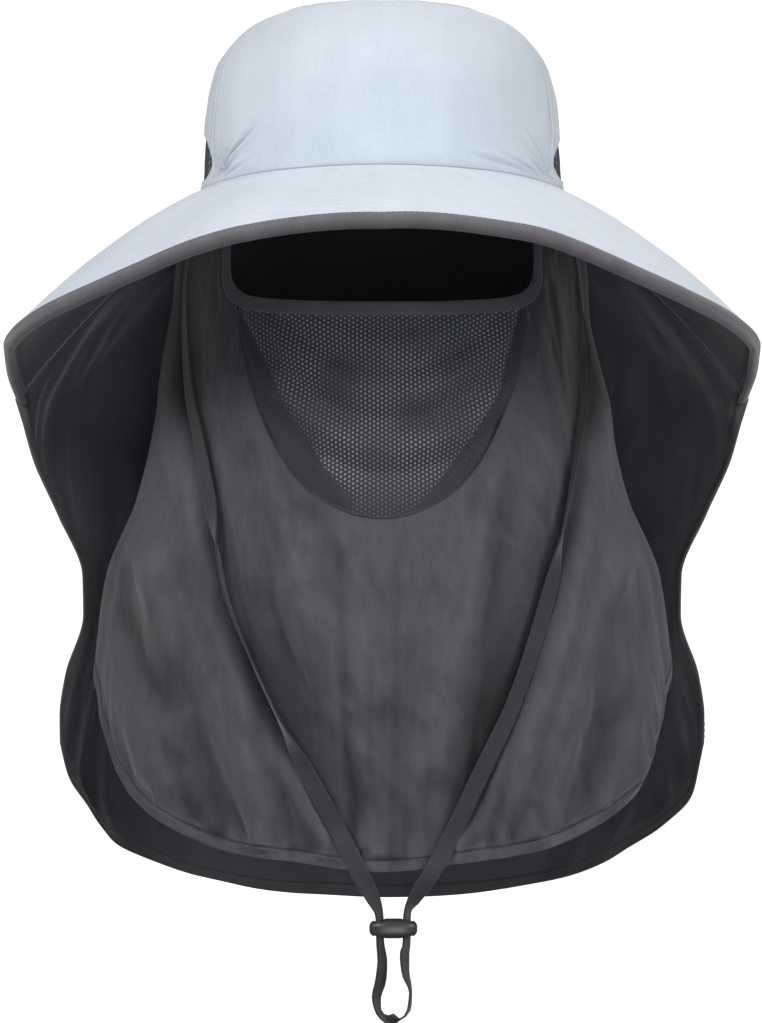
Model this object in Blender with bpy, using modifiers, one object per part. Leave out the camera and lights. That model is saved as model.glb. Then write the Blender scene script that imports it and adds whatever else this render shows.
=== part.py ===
"""A wide brim fishing hat with a neck flap, a face cover and a chin strap, in the form it has on a head.

Units are metres. Front is -Y, up is +Z, the wearer's sides are +X and -X.
The origin is the middle of the head opening, level with the brim's seam at the sides.
Angles round the head are in degrees from the front, positive towards +X.
"""
import math

import bmesh
import bpy
import numpy as np
from mathutils import Vector

for old in list(bpy.data.objects):
    bpy.data.objects.remove(old)

# Driving sizes
mm = 0.001
gap = 0.4 * mm
head_half_width = 90 * mm
head_half_depth = 100 * mm
crown_height = 95.5 * mm
crown_cloth = 1.5 * mm
crown_tuck = 2.2 * mm
seam_rise = 6.5 * mm
panel_seam = 70.0
vent_top = 43 * mm
vent_cloth = 1.1 * mm
brim_half_width = 188.5 * mm
brim_front = 207 * mm
brim_drop = 98 * mm
brim_end = 115.0
brim_wave = 1.6 * mm
brim_cloth = 1.3 * mm
lining_cloth = 1.1 * mm
binding_width = 7.2 * mm
binding_thick = 3.6 * mm
flap_half_width = 162 * mm
flap_back = 150 * mm
flap_length = 361 * mm
flap_cloth = 1.3 * mm
flap_hem_extra = 1.1 * mm
flap_fold = 5 * mm
cover_half_width = 147 * mm
cover_depth = 125 * mm
cover_length = 323.5 * mm
cover_cloth = 1.2 * mm
cover_hem_extra = 0.8 * mm
cover_fold = 3.5 * mm
cover_back = 108.0
cover_seat = 1 * mm
eye_half_width = 73 * mm
eye_drop = 57.8 * mm
eye_top = 8.2 * mm
trim_width = 6.8 * mm
trim_thick = 2.6 * mm
window_half_width = 68 * mm
window_drop = 159 * mm
window_cloth = 1.1 * mm
groove_depth = 4.5 * mm
groove_width = 14 * mm
strap_width = 8 * mm
strap_thick = 1.1 * mm
strap_lift = 3.2 * mm
lock_width = 22.4 * mm
lock_depth = 14 * mm
lock_height = 8.8 * mm
lock_round = 3.9 * mm
slot_wide = 5.9 * mm
slot_deep = 9.8 * mm
slot_pitch = 12.4 * mm

# Crown, from its base to its top: way (0 to 1), share of the half width, share of crown_height
crown_profile = (
    (0.00, 1.000, 0.00),
    (0.12, 0.990, 0.15),
    (0.26, 0.978, 0.33),
    (0.38, 0.962, 0.49),
    (0.48, 0.930, 0.62),
    (0.55, 0.890, 0.70),
    (0.64, 0.800, 0.80),
    (0.73, 0.680, 0.88),
    (0.86, 0.440, 0.955),
    (1.00, 0.000, 1.00),
)
tip_seam = 0.80

# Seam between crown and brim: angle, height as a share of seam_rise
seam_height = ((0, 1.0), (35, 0.77), (70, 0.21), (90, 0.0), (115, -0.38), (150, -0.69), (180, -0.77))

# Side vent of the crown: angle, low edge and high edge as shares of vent_top
vent_rows = (
    (76, 0.33, 0.40),
    (80, 0.22, 0.50),
    (86, 0.16, 0.63),
    (95, 0.14, 0.77),
    (107, 0.14, 0.91),
    (120, 0.14, 1.00),
    (133, 0.16, 1.00),
    (143, 0.22, 0.91),
    (149, 0.33, 0.77),
    (152, 0.44, 0.63),
)

# Rim of the brim: angle of the seam it belongs to, then shares of brim_half_width outwards, of brim_front
# forwards and of brim_drop down, then how far the brim bulges up as a share of brim_drop
rim_rows = (
    (0, 0.000, 1.000, 0.261, 0.036),
    (20, 0.340, 0.940, 0.327, 0.041),
    (40, 0.639, 0.766, 0.490, 0.051),
    (60, 0.859, 0.500, 0.638, 0.061),
    (75, 0.958, 0.259, 0.743, 0.071),
    (90, 0.992, 0.039, 0.792, 0.082),
    (104, 1.000, -0.126, 0.888, 0.092),
    (115, 0.987, -0.242, 1.000, 0.102),
)

# Neck flap below its seam: way down, half width as a share of flap_half_width, side edge's and back's place
# behind the middle as shares of flap_back, side edge's and back's drop as shares of flap_length
flap_rows = (
    (0.18, 1.086, 0.307, 0.847, 0.360, 0.222),
    (0.33, 1.006, 0.287, 0.873, 0.438, 0.402),
    (0.47, 0.929, 0.267, 0.887, 0.521, 0.540),
    (0.58, 0.926, 0.260, 0.900, 0.576, 0.637),
    (0.74, 0.981, 0.253, 0.933, 0.659, 0.776),
    (0.87, 1.000, 0.267, 0.967, 0.717, 0.892),
)
# Its bottom hem from the back (0) to the side edge (1): shares of flap_half_width, flap_back and flap_length
flap_bottom = (
    (0.00, 0.000, 1.000, 1.000),
    (0.22, 0.269, 0.953, 0.993),
    (0.48, 0.586, 0.773, 0.961),
    (0.66, 0.802, 0.560, 0.911),
    (0.80, 0.907, 0.427, 0.864),
    (0.91, 0.972, 0.333, 0.814),
    (1.00, 1.000, 0.273, 0.756),
)
# Soft folds that hang in the flap: place from the back (0) to the side edges (-1 and 1), width, share of flap_fold
flap_folds = (
    (-0.86, 0.060, -0.7),
    (-0.66, 0.070, 1.0),
    (-0.40, 0.080, -1.0),
    (-0.12, 0.090, 0.9),
    (0.16, 0.080, -0.9),
    (0.42, 0.080, 1.0),
    (0.66, 0.070, -0.9),
    (0.86, 0.060, 0.7),
)

# Face cover: drop as a share of cover_length, then how far it has flared from the head's half width to
# cover_half_width and from the head's half depth to cover_depth
cover_sections = (
    (-0.062, 0.000, 0.000),
    (0.000, 0.000, 0.000),
    (0.105, 0.216, 0.212),
    (0.204, 0.267, 0.500),
    (0.309, 0.362, 0.615),
    (0.464, 0.569, 0.577),
    (0.581, 0.840, 0.577),
    (0.711, 0.925, 0.673),
    (0.810, 0.970, 0.750),
    (0.896, 1.000, 0.846),
    (1.066, 0.983, 1.000),
)
# Its bottom hem: angle, drop as a share of cover_length
cover_hem = (
    (0, 1.000),
    (15, 0.988),
    (30, 0.974),
    (43, 0.943),
    (58, 0.878),
    (68, 0.805),
    (76, 0.765),
    (84, 0.725),
    (90, 0.700),
    (108, 0.665),
)
# Eye opening, from the middle of its lower edge up one side: shares of eye_half_width and eye_drop
eye_edge = (
    (0.000, 1.000),
    (0.301, 0.997),
    (0.575, 0.979),
    (0.767, 0.955),
    (0.877, 0.920),
    (0.952, 0.856),
    (0.992, 0.753),
    (1.000, 0.588),
    (1.000, 0.346),
    (1.000, 0.138),
)
# Mesh window, from the middle of its lower edge up one side: share of window_half_width, and share of the
# way down from eye_drop to window_drop
window_edge = (
    (0.000, 1.000),
    (0.147, 0.990),
    (0.279, 0.960),
    (0.412, 0.915),
    (0.529, 0.858),
    (0.632, 0.781),
    (0.728, 0.682),
    (0.809, 0.571),
    (0.875, 0.454),
    (0.929, 0.333),
    (0.971, 0.214),
    (1.000, 0.109),
)
# Soft folds of the face cover: angle, share of cover_length where deepest, width in degrees, share of cover_fold
cover_folds = (
    (-88, 0.587, 6.0, -0.5),
    (-76, 0.618, 5.0, -1.0),
    (-50, 0.773, 6.0, 0.9),
    (-36, 0.804, 4.5, -0.7),
    (-12, 0.742, 6.0, 0.6),
    (4, 0.773, 5.0, -0.6),
    (22, 0.773, 6.0, 0.7),
    (52, 0.742, 5.0, 0.9),
    (76, 0.618, 5.0, -0.9),
    (90, 0.556, 6.0, -0.5),
)

# Chin strap over the face cover, each side from the brim down: height and x in mm, as the strap lies
strap_left = ((-10, -89.0), (-30, -94.5), (-54, -97.0), (-93, -94.5), (-122, -88.5), (-151, -82.8),
              (-170, -79.8), (-193, -75.2), (-221, -64.1), (-251, -49.9), (-281, -33.5), (-313, -16.2))
strap_right = ((-10, 89.0), (-30, 95.5), (-54, 98.5), (-93, 100.0), (-122, 95.0), (-160, 88.0), (-179, 84.0),
               (-198, 79.0), (-221, 71.5), (-244, 62.2), (-270, 50.3), (-295, 38.6), (-318, 26.9))
# Below the hem, from the left strand through the lock, round the loop and up: x, y, z in mm, turn of the ribbon
strap_low = (
    (-9.0, -130.2, -326.0, 14),
    (-4.6, -130.0, -334.0, 40),
    (-1.3, -128.6, -342.5, 66),
    (-1.0, -128.0, -349.0, 66),
    (-0.9, -128.0, -355.5, 66),
    (0.1, -128.0, -364.0, 58),
    (-0.6, -128.0, -373.0, 52),
    (-2.6, -128.0, -381.0, 60),
    (-1.6, -128.0, -387.5, 75),
    (3.0, -128.0, -391.3, 85),
    (8.5, -128.0, -391.0, 88),
    (12.6, -128.0, -386.0, 80),
    (13.2, -128.0, -378.5, 84),
    (10.8, -128.0, -369.0, 66),
    (10.4, -128.0, -361.0, 58),
    (11.4, -128.0, -355.5, 66),
    (11.4, -128.0, -349.0, 66),
    (11.6, -128.6, -342.5, 66),
    (14.8, -129.8, -335.5, 44),
    (20.4, -130.2, -327.0, 22),
)
lock_middle = (5.2, -128.0, -349.0)


# Materials: name, colour, roughness
material_looks = {
    "crown_nylon": ((0.60, 0.68, 0.75), 0.72),
    "brim_nylon": ((0.74, 0.80, 0.88), 0.72),
    "charcoal_nylon": ((0.045, 0.045, 0.05), 0.68),
    "cover_nylon": ((0.075, 0.075, 0.085), 0.62),
    "binding_tape": ((0.10, 0.10, 0.105), 0.66),
    "dark_mesh": ((0.02, 0.02, 0.022), 0.80),
    "strap_webbing": ((0.03, 0.034, 0.035), 0.75),
    "lock_plastic": ((0.035, 0.035, 0.037), 0.42),
}


def make_material(name):
    colour, roughness = material_looks[name]
    material = bpy.data.materials.new(name)
    material.use_nodes = True
    shader = material.node_tree.nodes["Principled BSDF"]
    shader.inputs["Base Color"].default_value = (*colour, 1)
    shader.inputs["Roughness"].default_value = roughness
    return material


materials = {name: make_material(name) for name in material_looks}
collection = bpy.data.collections.new("fishing_hat")
bpy.context.scene.collection.children.link(collection)


# Curves through tables
def smooth(rows, at):
    """The table's other columns at this value of its first, on a curve that never overshoots a row."""
    table = np.asarray(rows, float)
    x = table[:, 0]
    y = table[:, 1:]
    at = min(max(at, x[0]), x[-1])
    i = min(int(np.searchsorted(x, at, side="right")) - 1, len(x) - 2)
    step = np.diff(x)[:, None]
    slope = np.diff(y, axis=0) / step
    tangent = np.zeros_like(y)
    tangent[0] = slope[0]
    tangent[-1] = slope[-1]
    both = slope[:-1] + slope[1:]
    same = slope[:-1] * slope[1:] > 0
    tangent[1:-1] = np.where(same, 2 * slope[:-1] * slope[1:] / np.where(same, both, 1), 0)
    h = step[i, 0]
    t = (at - x[i]) / h
    hold = (1 + 2 * t) * (1 - t) ** 2 * y[i] + t * t * (3 - 2 * t) * y[i + 1]
    return hold + h * t * (1 - t) * ((1 - t) * tangent[i] - t * tangent[i + 1])


def mirrored(rows, odd=()):
    """A table that starts at the middle of the hat, with its second row mirrored in front of the first."""
    first = [-rows[1][0]] + [-v if c in odd else v for c, v in enumerate(rows[1]) if c > 0]
    return (tuple(first), *rows)


def by_length(points):
    """The same points with their share of the way along in front, as a table for smooth()."""
    points = np.asarray(points, float)
    steps = np.linalg.norm(np.diff(points, axis=0), axis=1)
    way = np.concatenate([[0], np.cumsum(steps)])
    return np.column_stack([way / way[-1], points])


def bump(value, middle, width):
    return math.exp(-(((value - middle) / width) ** 2))


def make_object(name, mesh, material):
    obj = bpy.data.objects.new(name, mesh)
    collection.objects.link(obj)
    mesh.materials.append(materials[material])
    mesh.shade_smooth()
    return obj


def sheet(name, grid, material, thick, skip=(), weights=None):
    """Cloth from rows of points: an open surface that a Solidify gives its thickness."""
    rows = len(grid)
    columns = len(grid[0])
    mesh = bpy.data.meshes.new(name)
    points = [tuple(p) for row in grid for p in row]
    faces = []
    for r in range(rows - 1):
        for c in range(columns - 1):
            if (r, c) not in skip:
                k = r * columns + c
                faces.append((k, k + 1, k + columns + 1, k + columns))
    mesh.from_pydata(points, [], faces)
    body = bmesh.new()
    body.from_mesh(mesh)
    loose = [v for v in body.verts if not v.link_faces]
    bmesh.ops.delete(body, geom=loose, context="VERTS")
    body.to_mesh(mesh)
    body.free()
    obj = make_object(name, mesh, material)
    thicken = obj.modifiers.new("Solidify", "SOLIDIFY")
    thicken.thickness = thick
    thicken.offset = 0
    thicken.use_even_offset = True
    if weights is not None:
        group = obj.vertex_groups.new(name="hem")
        for index, weight in enumerate(w for row in weights for w in row):
            group.add([index], weight, "REPLACE")
        thicken.vertex_group = "hem"
    return obj


# Crown
def seam_z(angle):
    return smooth(mirrored(seam_height), abs(angle))[0] * seam_rise


def crown_point(angle, way, lift=0.0):
    """A point of the crown's middle surface: way is 0 at its base and 1 at the top."""
    width, height = smooth(crown_profile, way)
    base = seam_z(angle) + lift
    tuck = 0.0
    for side in (-1, 1):
        tuck += crown_tuck * bump(angle, (panel_seam - 4) * side, 9) * bump(way, 0.09, 0.07)
    turn = math.radians(angle)
    x = (head_half_width * width - tuck - crown_cloth / 2) * math.sin(turn) if width > 0 else 0
    y = -(head_half_depth * width - tuck - crown_cloth / 2) * math.cos(turn) if width > 0 else 0
    return Vector((x, y, base + (crown_height - base) * height))


base_lift = 1.5 * mm
tip_columns = 36
tip_gap = gap * 0.8 / (crown_height * 1.5)


def way_at_height(angle, height):
    """How far up the crown's profile a height above the brim's seam lies."""
    low, high = 0.0, 0.6
    for _ in range(30):
        middle = (low + high) / 2
        if crown_point(angle, middle).z - seam_z(angle) < height:
            low = middle
        else:
            high = middle
    return (low + high) / 2


tip = []
for way in (tip_seam + tip_gap, 0.88, 0.95):
    tip.append([crown_point(k * 360 / tip_columns, way, base_lift) for k in range(tip_columns + 1)])
mesh = bpy.data.meshes.new("crown_top")
points = [p for row in tip for p in row[:-1]] + [crown_point(0, 1, base_lift)]
faces = []
for r in range(len(tip) - 1):
    for c in range(tip_columns):
        d = (c + 1) % tip_columns
        n = tip_columns
        faces.append((r * n + c, r * n + d, r * n + n + d, r * n + n + c))
last = (len(tip) - 1) * tip_columns
faces += [(last + c, last + (c + 1) % tip_columns, len(points) - 1) for c in range(tip_columns)]
mesh.from_pydata(points, [], faces)
crown_top = make_object("crown_top", mesh, "crown_nylon")
thicken = crown_top.modifiers.new("Solidify", "SOLIDIFY")
thicken.thickness = crown_cloth
thicken.offset = 0
thicken.use_even_offset = True

wall_ways = [0.0, 0.06, 0.12, 0.2, 0.3, 0.4, 0.48, 0.55, 0.64, 0.73, tip_seam - tip_gap]
edge_gap = math.degrees(gap / 2 / head_half_width)
side_seam = panel_seam - edge_gap
front_angles = [-side_seam, -65, *range(-60, 61, 10), 65, side_seam]
grid = [[crown_point(a, w, base_lift) for a in front_angles] for w in wall_ways]
sheet("crown_front", grid, "crown_nylon", crown_cloth)

# The back panel runs round the rest of the crown and leaves a hole for each vent
vent_angles = [row[0] for row in vent_rows]
right_side = [panel_seam + edge_gap] + vent_angles + [160, 170]
back_angles = right_side + [180] + [360 - a for a in reversed(right_side)]
grid = []


def vent_edge(angle, column):
    """Height of the vent's low (0) or high (1) edge at an angle, carried on level past its ends."""
    return smooth(vent_rows, min(angle, 360 - angle))[column] * vent_top


def back_ways(angle):
    low = way_at_height(angle, vent_edge(angle, 0))
    high = way_at_height(angle, vent_edge(angle, 1))
    above = [high + (tip_seam - tip_gap - high) * s for s in (0.22, 0.42, 0.6, 0.78, 1.0)]
    return [0.0, low * 0.5, low, high] + above


ways = [back_ways(a if a <= 180 else 360 - a) for a in back_angles]
signed_angles = [a if a <= 180 else a - 360 for a in back_angles]
for r in range(len(ways[0])):
    grid.append([crown_point(a, ways[c][r], base_lift) for c, a in enumerate(signed_angles)])
hole_row = 2
first, last = vent_angles[0], vent_angles[-1]
vent_columns = []
for c, angle in enumerate(back_angles[:-1]):
    middle = (angle + back_angles[c + 1]) / 2
    if first < min(middle, 360 - middle) < last:
        vent_columns.append(c)
sheet("crown_back", grid, "crown_nylon", crown_cloth, skip={(hole_row, c) for c in vent_columns})

inset = 0.45 * mm
inset_angle = math.degrees(inset / head_half_width)
for side, name in ((1, "vent_right"), (-1, "vent_left")):
    angles = [vent_angles[0] + inset_angle] + vent_angles[1:-1] + [vent_angles[-1] - inset_angle]
    grid = []
    for share in (0.0, 0.25, 0.5, 0.75, 1.0):
        row = []
        for angle in angles:
            low = way_at_height(angle, vent_edge(angle, 0) + inset * 1.25)
            high = way_at_height(angle, vent_edge(angle, 1) - inset * 1.25)
            row.append(crown_point(side * angle, low + (high - low) * share, base_lift))
        grid.append(row)
    sheet(name, grid, "dark_mesh", vent_cloth)


# Brim
def brim_point(angle, out, sink=0.0):
    """A point of the brim's top cloth: out is 0 at the crown's seam and 1 at the rim."""
    side = -1 if angle < 0 else 1
    wide, front, drop, bulge = smooth(mirrored(rim_rows, odd=(1,)), abs(angle))
    turn = math.radians(abs(angle))
    inner = Vector((head_half_width * math.sin(turn), -head_half_depth * math.cos(turn), seam_z(angle)))
    rim = Vector((brim_half_width * wide, -brim_front * front, -brim_drop * drop))
    flat = inner.lerp(rim, out)
    wave = brim_wave * math.sin(math.radians(abs(angle) * 5.2)) * out * out
    flat.z += brim_drop * bulge * 4 * out * (1 - out) + wave
    flat.z -= sink
    flat.x *= side
    return flat


def brim_length(angle):
    return (brim_point(angle, 1) - brim_point(angle, 0)).length


brim_angles = np.linspace(-brim_end, brim_end, 41)
brim_shares = (0.0, 0.25, 0.5, 0.75, 1.0)
seam_allowance = 1.2 * mm


def brim_row(share, sink):
    row = []
    for angle in brim_angles:
        length = brim_length(angle)
        start = -seam_allowance / length
        end = 1 - (binding_width + gap) / length
        row.append(brim_point(angle, start + (end - start) * share, sink))
    return row


def sunk(grid, depth):
    """The same grid moved along its normals to its underside."""
    points = np.array([[tuple(p) for p in row] for row in grid])
    across = np.gradient(points, axis=1)
    down = np.gradient(points, axis=0)
    normal = np.cross(across, down)
    normal /= np.linalg.norm(normal, axis=2)[..., None]
    upward = np.sign(normal[..., 2:3])
    return points - normal * upward * depth


top_grid = [brim_row(s, 0) for s in brim_shares]
sheet("brim_top", top_grid, "brim_nylon", brim_cloth)
under_depth = brim_cloth / 2 + gap + lining_cloth / 2
sheet("brim_underside", sunk(top_grid, under_depth), "charcoal_nylon", lining_cloth)

binding_rows = []
for share in (0.0, 0.5, 1.0):
    row = []
    for angle in brim_angles:
        length = brim_length(angle)
        row.append(brim_point(angle, 1 - binding_width / length * (1 - share)))
    binding_rows.append(row)
binding_grid = sunk(binding_rows, (brim_cloth + gap) / 2 + 0.1 * mm)
binding = sheet("brim_binding", binding_grid, "binding_tape", binding_thick)
round_edge = binding.modifiers.new("Bevel", "BEVEL")
round_edge.width = 1.1 * mm
round_edge.segments = 1
round_edge.limit_method = "ANGLE"
round_edge.angle_limit = math.radians(60)


# Neck flap
def flap_top(share):
    """Its upper edge: along the crown's back, then out along the end of the brim to the rim's corner."""
    side = -1 if share < 0 else 1
    share = abs(share)
    turning = 0.62
    if share <= turning:
        angle = 180 - (180 - brim_end - 2.0) * share / turning
        point = crown_point(angle, 0.0)
        point.z = seam_z(angle) + 0.6 * mm
    else:
        out = (share - turning) / (1 - turning)
        point = brim_point(brim_end, out)
        point.y += 2.0 * mm
    point.x *= side
    return point


def flap_point(share, down):
    """Share runs from the left edge (-1) to the right edge (1), down from the seam (0) to the hem (1)."""
    side = -1 if share < 0 else 1
    turn = math.radians(abs(share) * 90)
    rows = [(0.0, *flap_top(abs(share)))]
    for way, half_width, edge_y, back_y, edge_drop, back_drop in flap_rows:
        x = flap_half_width * half_width * math.sin(turn)
        y = flap_back * (edge_y + (back_y - edge_y) * math.cos(turn))
        drop = back_drop + (edge_drop - back_drop) * abs(share) ** 3
        rows.append((way, x, y, -flap_length * drop))
    x, y, drop = smooth(mirrored(flap_bottom, odd=(1,)), abs(share))
    rows.append((1.0, x * flap_half_width, y * flap_back, -drop * flap_length))
    x, y, z = smooth(rows, down)
    depth = flap_fold * sum(fold * bump(share, middle, width) for middle, width, fold in flap_folds)
    depth *= down ** 1.3 * (1 - abs(share) ** 8)
    x += depth * math.sin(turn)
    y += depth * math.cos(turn)
    return Vector((x * side, y, z))


flap_shares = np.concatenate([[-1.0, -0.975], np.linspace(-0.93, 0.93, 31), [0.975, 1.0]])
flap_downs = (0.0, 0.08, 0.18, 0.28, 0.38, 0.47, 0.58, 0.68, 0.78, 0.88, 0.972, 1.0)
grid = [[flap_point(s, d) for s in flap_shares] for d in flap_downs]
flap_full = flap_cloth + flap_hem_extra
thin = flap_cloth / flap_full
weights = [[1.0 if abs(s) > 0.97 or d > 0.97 else thin for s in flap_shares] for d in flap_downs]
sheet("neck_flap", grid, "charcoal_nylon", flap_full, weights=weights)


# Face cover
def strap_groove(x, z):
    """How near a point lies to the line of the strap, from 0 to 1."""
    path = strap_left if x < 0 else strap_right
    if not path[-1][0] < z / mm < path[0][0]:
        return 0.0
    line = smooth(path[::-1], z / mm)[0] * mm
    return bump(x, line, groove_width)


def cover_size(z):
    """Half width and depth of the face cover at a height."""
    wide, deep = smooth(cover_sections, -z / cover_length)
    half_width = head_half_width - cover_seat
    depth = head_half_depth - cover_seat
    return half_width + (cover_half_width - half_width) * wide, depth + (cover_depth - depth) * deep


def cover_point(angle, z):
    """A point of the face cover's middle surface at an angle and a height."""
    half_width, depth = cover_size(z)
    turn = math.radians(angle)
    share = -z / cover_length
    push = 0.0
    for middle, deepest, width, fold in cover_folds:
        push += cover_fold * fold * bump(angle, middle, width) * bump(share, deepest, 0.216)
    push -= groove_depth * strap_groove(half_width * math.sin(turn), z)
    push += cover_fold * 0.17 * max(0.0, share - 0.19) * math.sin(turn * 9)
    x = (half_width + push) * math.sin(turn)
    y = -(depth + push) * math.cos(turn)
    if abs(angle) > 90:
        y = -(head_half_width + push) * math.cos(turn)
    return Vector((x, y, z))


def angle_of(x, z):
    return math.degrees(math.asin(max(-1.0, min(1.0, x / cover_size(z)[0]))))


def outward(points, distance):
    """A line in the front view moved to its outer side, away from the opening that it bounds."""
    points = np.asarray(points, float)
    along = np.gradient(points, axis=0)
    along /= np.linalg.norm(along, axis=1)[:, None]
    normal = np.column_stack([along[:, 1], -along[:, 0]])
    return points + normal * distance


def resampled(points, count):
    table = by_length(points)
    return np.array([smooth(table, s) for s in np.linspace(0, 1, count)])


def both_sides(line):
    """Points of the face cover along a line of (x, z) and along its mirror image, from left to right."""
    left = [cover_point(angle_of(-x, z), z) for x, z in reversed(line[1:])]
    return left + [cover_point(angle_of(x, z), z) for x, z in line]


eye_line = [(x * eye_half_width, -z * eye_drop) for x, z in eye_edge]
window_line = [(x * window_half_width, -eye_drop - z * (window_drop - eye_drop)) for x, z in window_edge]
trim_inner = resampled(eye_line, 19)
cloth_edge = outward(trim_inner, trim_width + gap * 1.5)
cover_top = brim_cloth / 2 + gap + lining_cloth + gap + cover_seat * 0.8


def cover_upper():
    """The face cover's upper edge on one side: round the window, up beside the trim and back along the seam."""
    beside = [(x, z) for x, z in cloth_edge if x > window_half_width + gap * 11 and z < -eye_top - gap * 2]
    beside.append((beside[-1][0], -eye_top - gap))
    line = [(angle_of(x, z), z) for x, z in window_line + beside]
    for angle in np.linspace(line[-1][0] + 6, cover_back, 8):
        line.append((angle, seam_z(angle) - cover_top))
    return line


upper_line = cover_upper()


def cover_patch(rows):
    """Half of the face cover as rows of (angle, height), from the upper edge to the hem."""
    degree = cover_half_width * 0.013
    ways = by_length([(a * degree, z) for a, z in upper_line])[:, 0]
    grid = []
    for way in rows:
        row = []
        for share, (angle, z) in zip(ways, upper_line):
            hem_angle = cover_back * share ** 0.93
            hem_z = -cover_length * smooth(mirrored(cover_hem), hem_angle)[0]
            row.append((angle + (hem_angle - angle) * way, z + (hem_z - z) * way))
        grid.append(row)
    return grid


cover_rows = (0.0, 0.08, 0.17, 0.27, 0.37, 0.47, 0.57, 0.67, 0.77, 0.87, 0.968, 1.0)
grid = []
for row in cover_patch(cover_rows):
    left = [cover_point(-a, z) for a, z in reversed(row[1:])]
    grid.append(left + [cover_point(a, z) for a, z in row])
cover_full = cover_cloth + cover_hem_extra
thin = cover_cloth / cover_full
weights = [[1.0 if way > 0.96 else thin for _ in grid[0]] for way in cover_rows]
sheet("face_cover", grid, "cover_nylon", cover_full, weights=weights)

# Mesh window
window_rows = 8
window_columns = 11
inner_line = by_length(outward(resampled(window_line, 17), -gap * 1.35))
top_line = outward(resampled(eye_line, 60), trim_width + gap)
top_table = np.array([p for p in top_line if p[0] < window_half_width * 1.02])
grid = []
for way in np.linspace(0, 1, window_rows):
    line = []
    for share in np.linspace(0, 1, window_columns):
        x, z = smooth(inner_line, share)
        top_x = share ** 0.8 * (window_half_width - gap * 2.5)
        top_z = smooth(top_table, top_x)[0]
        line.append((top_x + (x - top_x) * way, top_z + (z - top_z) * way))
    line[0] = (0.0, line[0][1])
    grid.append(both_sides(line))
sheet("window_mesh", grid, "dark_mesh", window_cloth)

# Elastic trim of the eye opening
grid = []
for share in (0.0, 0.5, 1.0):
    line = outward(trim_inner, trim_width * share)
    line[:, 1] = np.minimum(line[:, 1], -eye_top)
    grid.append(both_sides(list(map(tuple, line))))
sheet("eye_trim", grid, "binding_tape", trim_thick)


# Chin strap: one ribbon from the left of the brim's seam, through the lock, round the loop and back
def strap_on_cover(path, stations):
    """Middle of the ribbon and its outward direction while it lies on the face cover."""
    points = []
    step = 4 * mm
    for z in np.linspace(path[0][0], path[-1][0], stations):
        x = smooth(path[::-1], z)[0] * mm
        z = z * mm
        angle = angle_of(x, z)
        here = cover_point(angle, z)
        across = cover_point(angle + 2, z) - cover_point(angle - 2, z)
        down = cover_point(angle_of(x, z - step), z - step) - cover_point(angle_of(x, z + step), z + step)
        normal = across.cross(down).normalized()
        if normal.y > 0:
            normal = -normal
        points.append((here + normal * strap_lift, normal))
    return points


def ribbon_stations():
    left = strap_on_cover(strap_left, 30)
    right = strap_on_cover(strap_right, 28)
    low = []
    for x, y, z, turn in strap_low:
        angle = math.radians(turn)
        low.append((Vector((x, y, z)) * mm, Vector((math.sin(angle), -math.cos(angle), 0))))
    return left + low + list(reversed(right))


stations = ribbon_stations()
knots = by_length([(*p, *(n * 0.02)) for p, n in stations])


def even_ribbon(count):
    rows = []
    for share in np.linspace(0, 1, count):
        values = smooth(knots, share)
        rows.append((Vector(values[:3]), Vector(values[3:]).normalized()))
    return rows


ribbon = even_ribbon(78)
grid = [[], [], []]
for k, (point, normal) in enumerate(ribbon):
    before = ribbon[max(k - 1, 0)][0]
    after = ribbon[min(k + 1, len(ribbon) - 1)][0]
    along = (after - before).normalized()
    across = along.cross(normal).normalized()
    for c, share in enumerate((-0.5, 0.0, 0.5)):
        grid[c].append(point + across * strap_width * share)
sheet("chin_strap", grid, "strap_webbing", strap_thick)

# Cord lock: a rounded bean with two slots
lock_mesh = bpy.data.meshes.new("cord_lock")
body = bmesh.new()
bmesh.ops.create_cube(body, size=1)
bmesh.ops.scale(body, verts=body.verts, vec=(lock_width, lock_depth, lock_height))
body.to_mesh(lock_mesh)
body.free()
lock = make_object("cord_lock", lock_mesh, "lock_plastic")
lock.location = Vector(lock_middle) * mm
soften = lock.modifiers.new("Bevel", "BEVEL")
soften.width = lock_round
soften.segments = 4
soften.limit_method = "NONE"
cutters = bpy.data.collections.new("cutters")
bpy.context.scene.collection.children.link(cutters)
for side in (-1, 1):
    bpy.ops.mesh.primitive_cube_add(size=1)
    cutter = bpy.context.object
    cutter.name = f"slot_cutter_{'left' if side < 0 else 'right'}"
    cutter.scale = (slot_wide, slot_deep, lock_height * 3)
    cutter.location = Vector(lock_middle) * mm + Vector((side * slot_pitch / 2, 0, 0))
    cutter.hide_render = True
    cutter.display_type = "WIRE"
    for home in list(cutter.users_collection):
        home.objects.unlink(cutter)
    cutters.objects.link(cutter)
    cut = lock.modifiers.new(f"Slot {side}", "BOOLEAN")
    cut.operation = "DIFFERENCE"
    cut.solver = "EXACT"
    cut.object = cutter
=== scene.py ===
import math
from contextlib import contextmanager

import bmesh
import bpy
import numpy as np
from mathutils import Matrix, Vector


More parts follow.
